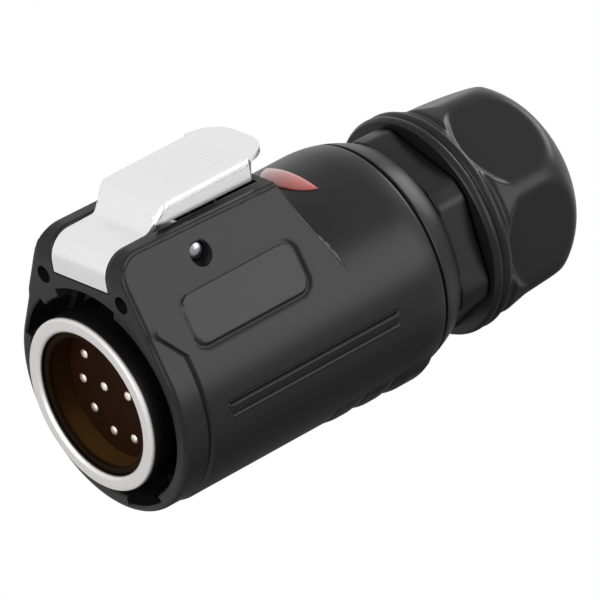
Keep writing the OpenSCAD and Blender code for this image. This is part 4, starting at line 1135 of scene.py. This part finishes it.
class PLUG_OT_gland(bpy.types.Operator):
    """Gland body, nut, cable seal and thrust ring"""

    bl_idname = "plug.gland"
    bl_label = "Build gland"

    def execute(self, context):
        g = in_mm(context.scene.plug_gland)
        colours = context.scene.plug_colours
        black = finish(
            "gland_plastic", colours.gland, 0.33, grain=0.25, depth=0.005, mottle=0.05, specular=0.2)
        # painted shade: the nut's flats are darker in colour
        fade_marked(black, "flats", colours.flats)
        low, high = node_box("gland_body")
        nut = tuple(corner[0] for corner in node_box("gland_nut"))
        hex_x = (node_box("shell")[1][0], nut[0] - 0.3)
        body = mesh_from("gland_turned", [(gland_grid(g, low[0], hex_x, high[0]), True, True, False)])
        add_piece("gland_hexagon", body, "plug", "gland_plastic", ["gland_body"], 35)
        self.add_nut(g, nut)
        bush_r = 6.0
        rubber_finish(colours)
        low, high = node_box("cable_seal")
        bush = rounded(rectangle((low[0], bush_r), (high[0], high[1])), 0.5)
        add_turned("cable_bush", bush, "plug", "seal_rubber", "cable_seal")
        low, high = node_box("thrust_ring")
        mouth_r, foot_r, wall_x = 10.95, 9.65, high[0] - 1.8
        cone = rounded([
            [low[0], mouth_r], [low[0], high[1]], [high[0], high[1]], [high[0], CABLE_R], [wall_x, CABLE_R],
            [wall_x, foot_r]], 0.2)
        finish("slip_plastic", colours.slip, 0.5, mottle=0.04)
        add_turned("slip_ring", cone, "thrust", "slip_plastic", "thrust_ring")
        return {"FINISHED"}

    def add_nut(self, g, nut):
        """Nut with its flats marked for their painted shade, closed through its cable hole and threaded bore.
        """
        thread_r, wall = 12.1, 3.4
        flange_x1, near_x, dome_x = nut[0] + g.flange_len, nut[0] + 8.5, nut[1] - g.dome_len
        x = stations((nut[0], flange_x1, 32), (flange_x1, near_x, 22), (near_x, dome_x, 22))
        end = dome_x + g.dome_len * np.sin(np.radians(np.linspace(0, 90, 24)))
        x = np.unique(np.concatenate([x, end]))[:, None]
        a = full_turn(300)[None]
        inner = np.array([
            [nut[1], CABLE_R], [nut[1] - wall, CABLE_R], [nut[1] - wall, thread_r], [nut[0], thread_r]])
        r = np.concatenate([nut_radius(x, a, g, nut), inner[:, 1:] * np.ones_like(a)])
        grid = around_x(np.concatenate([x, inner[:, :1]]), r, a)
        mesh = mesh_from("nut_turned", [(grid, True, True, False)])
        x, y, z = places(mesh)
        deep = nut_body(x, g, nut) - nut_flat(x, np.arctan2(z, y), g, nut)
        # the mark for the flats' painted shade
        add_mark(mesh, "flats", smooth_step(0, 0.35, deep) * (x > flange_x1))
        add_piece("rear_nut", mesh, "nut", "gland_plastic", ["gland_nut"], 35)


class PLUG_OT_plain(bpy.types.Operator):
    """Finishes of the inner pieces that keep their CAD shape"""

    bl_idname = "plug.plain"
    bl_label = "Finish inner pieces"

    def execute(self, context):
        colours = context.scene.plug_colours
        finish("retainer_brass", colours.brass, 0.3, metallic=1.0)
        finish("cage_plastic", colours.cage, 0.55, grain=0.3, depth=0.01)
        for node, slot in INNER_SLOTS.items():
            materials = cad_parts[node].data.materials
            materials.clear()
            materials.append(bpy.data.materials[slot])
        return {"FINISHED"}


class PLUG_OT_stage(bpy.types.Operator):
    """Floor, light and camera"""

    bl_idname = "plug.stage"
    bl_label = "Build studio"

    def execute(self, context):
        view = in_mm(context.scene.plug_stage)
        context.scene.view_settings.view_transform = "Standard"
        self.add_camera(context, view)
        self.add_floor(context, view)
        self.add_world(context.scene)
        middle = (CAD_BOX[0] + CAD_BOX[1]) / 2
        for name, (place, size, power) in LAMPS.items():
            self.add_lamp(context, name, middle + Vector(place), middle, size, power)
        return {"FINISHED"}

    def add_camera(self, context, view):
        """Camera at a distance from the point it looks at, turned by azimuth, elevation and roll."""
        across = np.cos(view.elevation)
        right = Vector((np.cos(view.azimuth), np.sin(view.azimuth), 0))
        back = Vector((
            np.sin(view.azimuth) * across, -np.cos(view.azimuth) * across, np.sin(view.elevation)))
        up = back.cross(right)
        tilted = right * np.cos(view.roll) + up * np.sin(view.roll)
        top = up * np.cos(view.roll) - right * np.sin(view.roll)
        lens = bpy.data.cameras.new("view")
        lens.lens = view.lens
        lens.sensor_width = 36
        lens.clip_start = 0.1
        lens.clip_end = 20
        camera = bpy.data.objects.new("view", lens)
        spin = Matrix((tilted, top, back)).transposed().to_4x4()
        camera.matrix_world = Matrix.Translation((view.aim + back * view.distance) * MM) @ spin
        context.collection.objects.link(camera)
        context.scene.camera = camera

    def add_lamp(self, context, name, place, aim, size, power):
        """Square soft lamp that faces a point."""
        data = bpy.data.lights.new(name, "AREA")
        data.size = size
        data.energy = power
        lamp = bpy.data.objects.new(name, data)
        lamp.location = place
        lamp.rotation_euler = (aim - place).to_track_quat("-Z", "Y").to_euler()
        context.collection.objects.link(lamp)

    def seen_white(self, tree, kind, surface, target, strength=1.0):
        """White to the camera and in mirrors, of a strength, and a surface of its own to the light."""
        white = add_node(tree, kind, {"Color": (1, 1, 1, 1), "Strength": strength})
        rays = add_node(tree, "LightPath").outputs
        seen = rays["Is Camera Ray"]
        for ray in ("Is Glossy Ray", "Is Transmission Ray"):
            seen = add_node(tree, "Math", {0: seen, 1: rays[ray]}, operation="MAXIMUM").outputs[0]
        mix = add_node(tree, "MixShader", {0: seen, 1: surface, 2: white.outputs[0]})
        tree.links.new(mix.outputs[0], target)

    def add_floor(self, context, view):
        """Plain pale floor below the plug."""
        reach = FLOOR_REACH * np.array([-1, 1])
        grid = np.stack(np.broadcast_arrays(reach, reach[:, None], -view.floor_drop), -1)
        floor = bpy.data.objects.new("floor", mesh_from("floor", [(grid, False, False, False)]))
        context.collection.objects.link(floor)
        colour = context.scene.plug_colours.floor
        material = finish("floor", colour, 0.9, grain=40.0, mottle=0.02, specular=0.1)
        tree = material.node_tree
        surface = find_node(tree, "BsdfPrincipled").outputs["BSDF"]
        target = find_node(tree, "OutputMaterial").inputs["Surface"]
        self.seen_white(tree, "Emission", surface, target, self.shadowed(tree, view))
        floor.data.materials.append(material)

    def shadowed(self, tree, view):
        """Strength of the floor's white: full to the camera; in mirrors it is dark in the plug's shadow,
        which falls behind the plug, and grows paler around it."""
        seen = add_node(tree, "LightPath").outputs["Is Camera Ray"]
        place = add_node(tree, "TexCoord").outputs["Object"]
        middle = np.array([view.shadow_x, view.shadow_y, -view.floor_drop]) * MM
        far = add_node(tree, "VectorMath", {0: place, 1: middle}, operation="DISTANCE")
        reach = view.shadow_r * MM
        ramp = add_node(tree, "MapRange", {
            "Value": far.outputs["Value"], "From Min": SHADOW_CORE * reach, "From Max": reach,
            "To Min": SHADOW_LOW, "To Max": SHADOW_HIGH}, interpolation_type="SMOOTHSTEP")
        level = {0: seen, 1: ramp.outputs["Result"]}
        return add_node(tree, "Math", level, operation="MAXIMUM").outputs[0]

    def add_world(self, scene):
        """Even pale surroundings, white where they are seen."""
        scene.world = bpy.data.worlds.new("studio")
        scene.world.use_nodes = True
        tree = scene.world.node_tree
        tree.nodes.clear()
        soft = add_node(tree, "Background", {"Color": (1, 1, 1, 1), "Strength": SURROUND})
        out = add_node(tree, "OutputWorld")
        self.seen_white(tree, "Background", soft.outputs[0], out.inputs["Surface"])


class PLUG_PT_panel(bpy.types.Panel):
    """Sizes, colours and build steps of the plug"""

    bl_idname = "PLUG_PT_panel"
    bl_label = "Circular cable plug"
    bl_space_type = "VIEW_3D"
    bl_region_type = "UI"
    bl_category = "Plug"

    def draw(self, context):
        for name in GROUPS:
            box = self.layout.box()
            group = getattr(context.scene, name)
            for key in group.__annotations__:
                box.prop(group, key)
        for step in STEPS:
            self.layout.operator(step.bl_idname)


GROUPS = {
    "plug_shell": PlugShellSizes,
    "plug_latch": PlugLatchSizes,
    "plug_gland": PlugGlandSizes,
    "plug_colours": PlugColours,
    "plug_stage": PlugStage,
}
STEPS = (PLUG_OT_shell, PLUG_OT_latch, PLUG_OT_indicator, PLUG_OT_front, PLUG_OT_gland, PLUG_OT_plain,
         PLUG_OT_stage)


def register():
    """Register the properties, the build steps and the panel."""
    for name, group in GROUPS.items():
        bpy.utils.register_class(group)
        setattr(bpy.types.Scene, name, bpy.props.PointerProperty(type=group))
    for step in STEPS:
        bpy.utils.register_class(step)
    bpy.utils.register_class(PLUG_PT_panel)


def unregister():
    """Remove the panel, the build steps and the properties."""
    bpy.utils.unregister_class(PLUG_PT_panel)
    for step in reversed(STEPS):
        bpy.utils.unregister_class(step)
    for name, group in reversed(GROUPS.items()):
        delattr(bpy.types.Scene, name)
        bpy.utils.unregister_class(group)


def main():
    """Build every step in order."""
    register()
    for step in STEPS:
        area, name = step.bl_idname.split(".")
        if getattr(getattr(bpy.ops, area), name)() != {"FINISHED"}:
            raise RuntimeError(step.bl_label + " did not finish")
    bpy.context.view_layer.update()


if __name__ == "__main__":
    main()
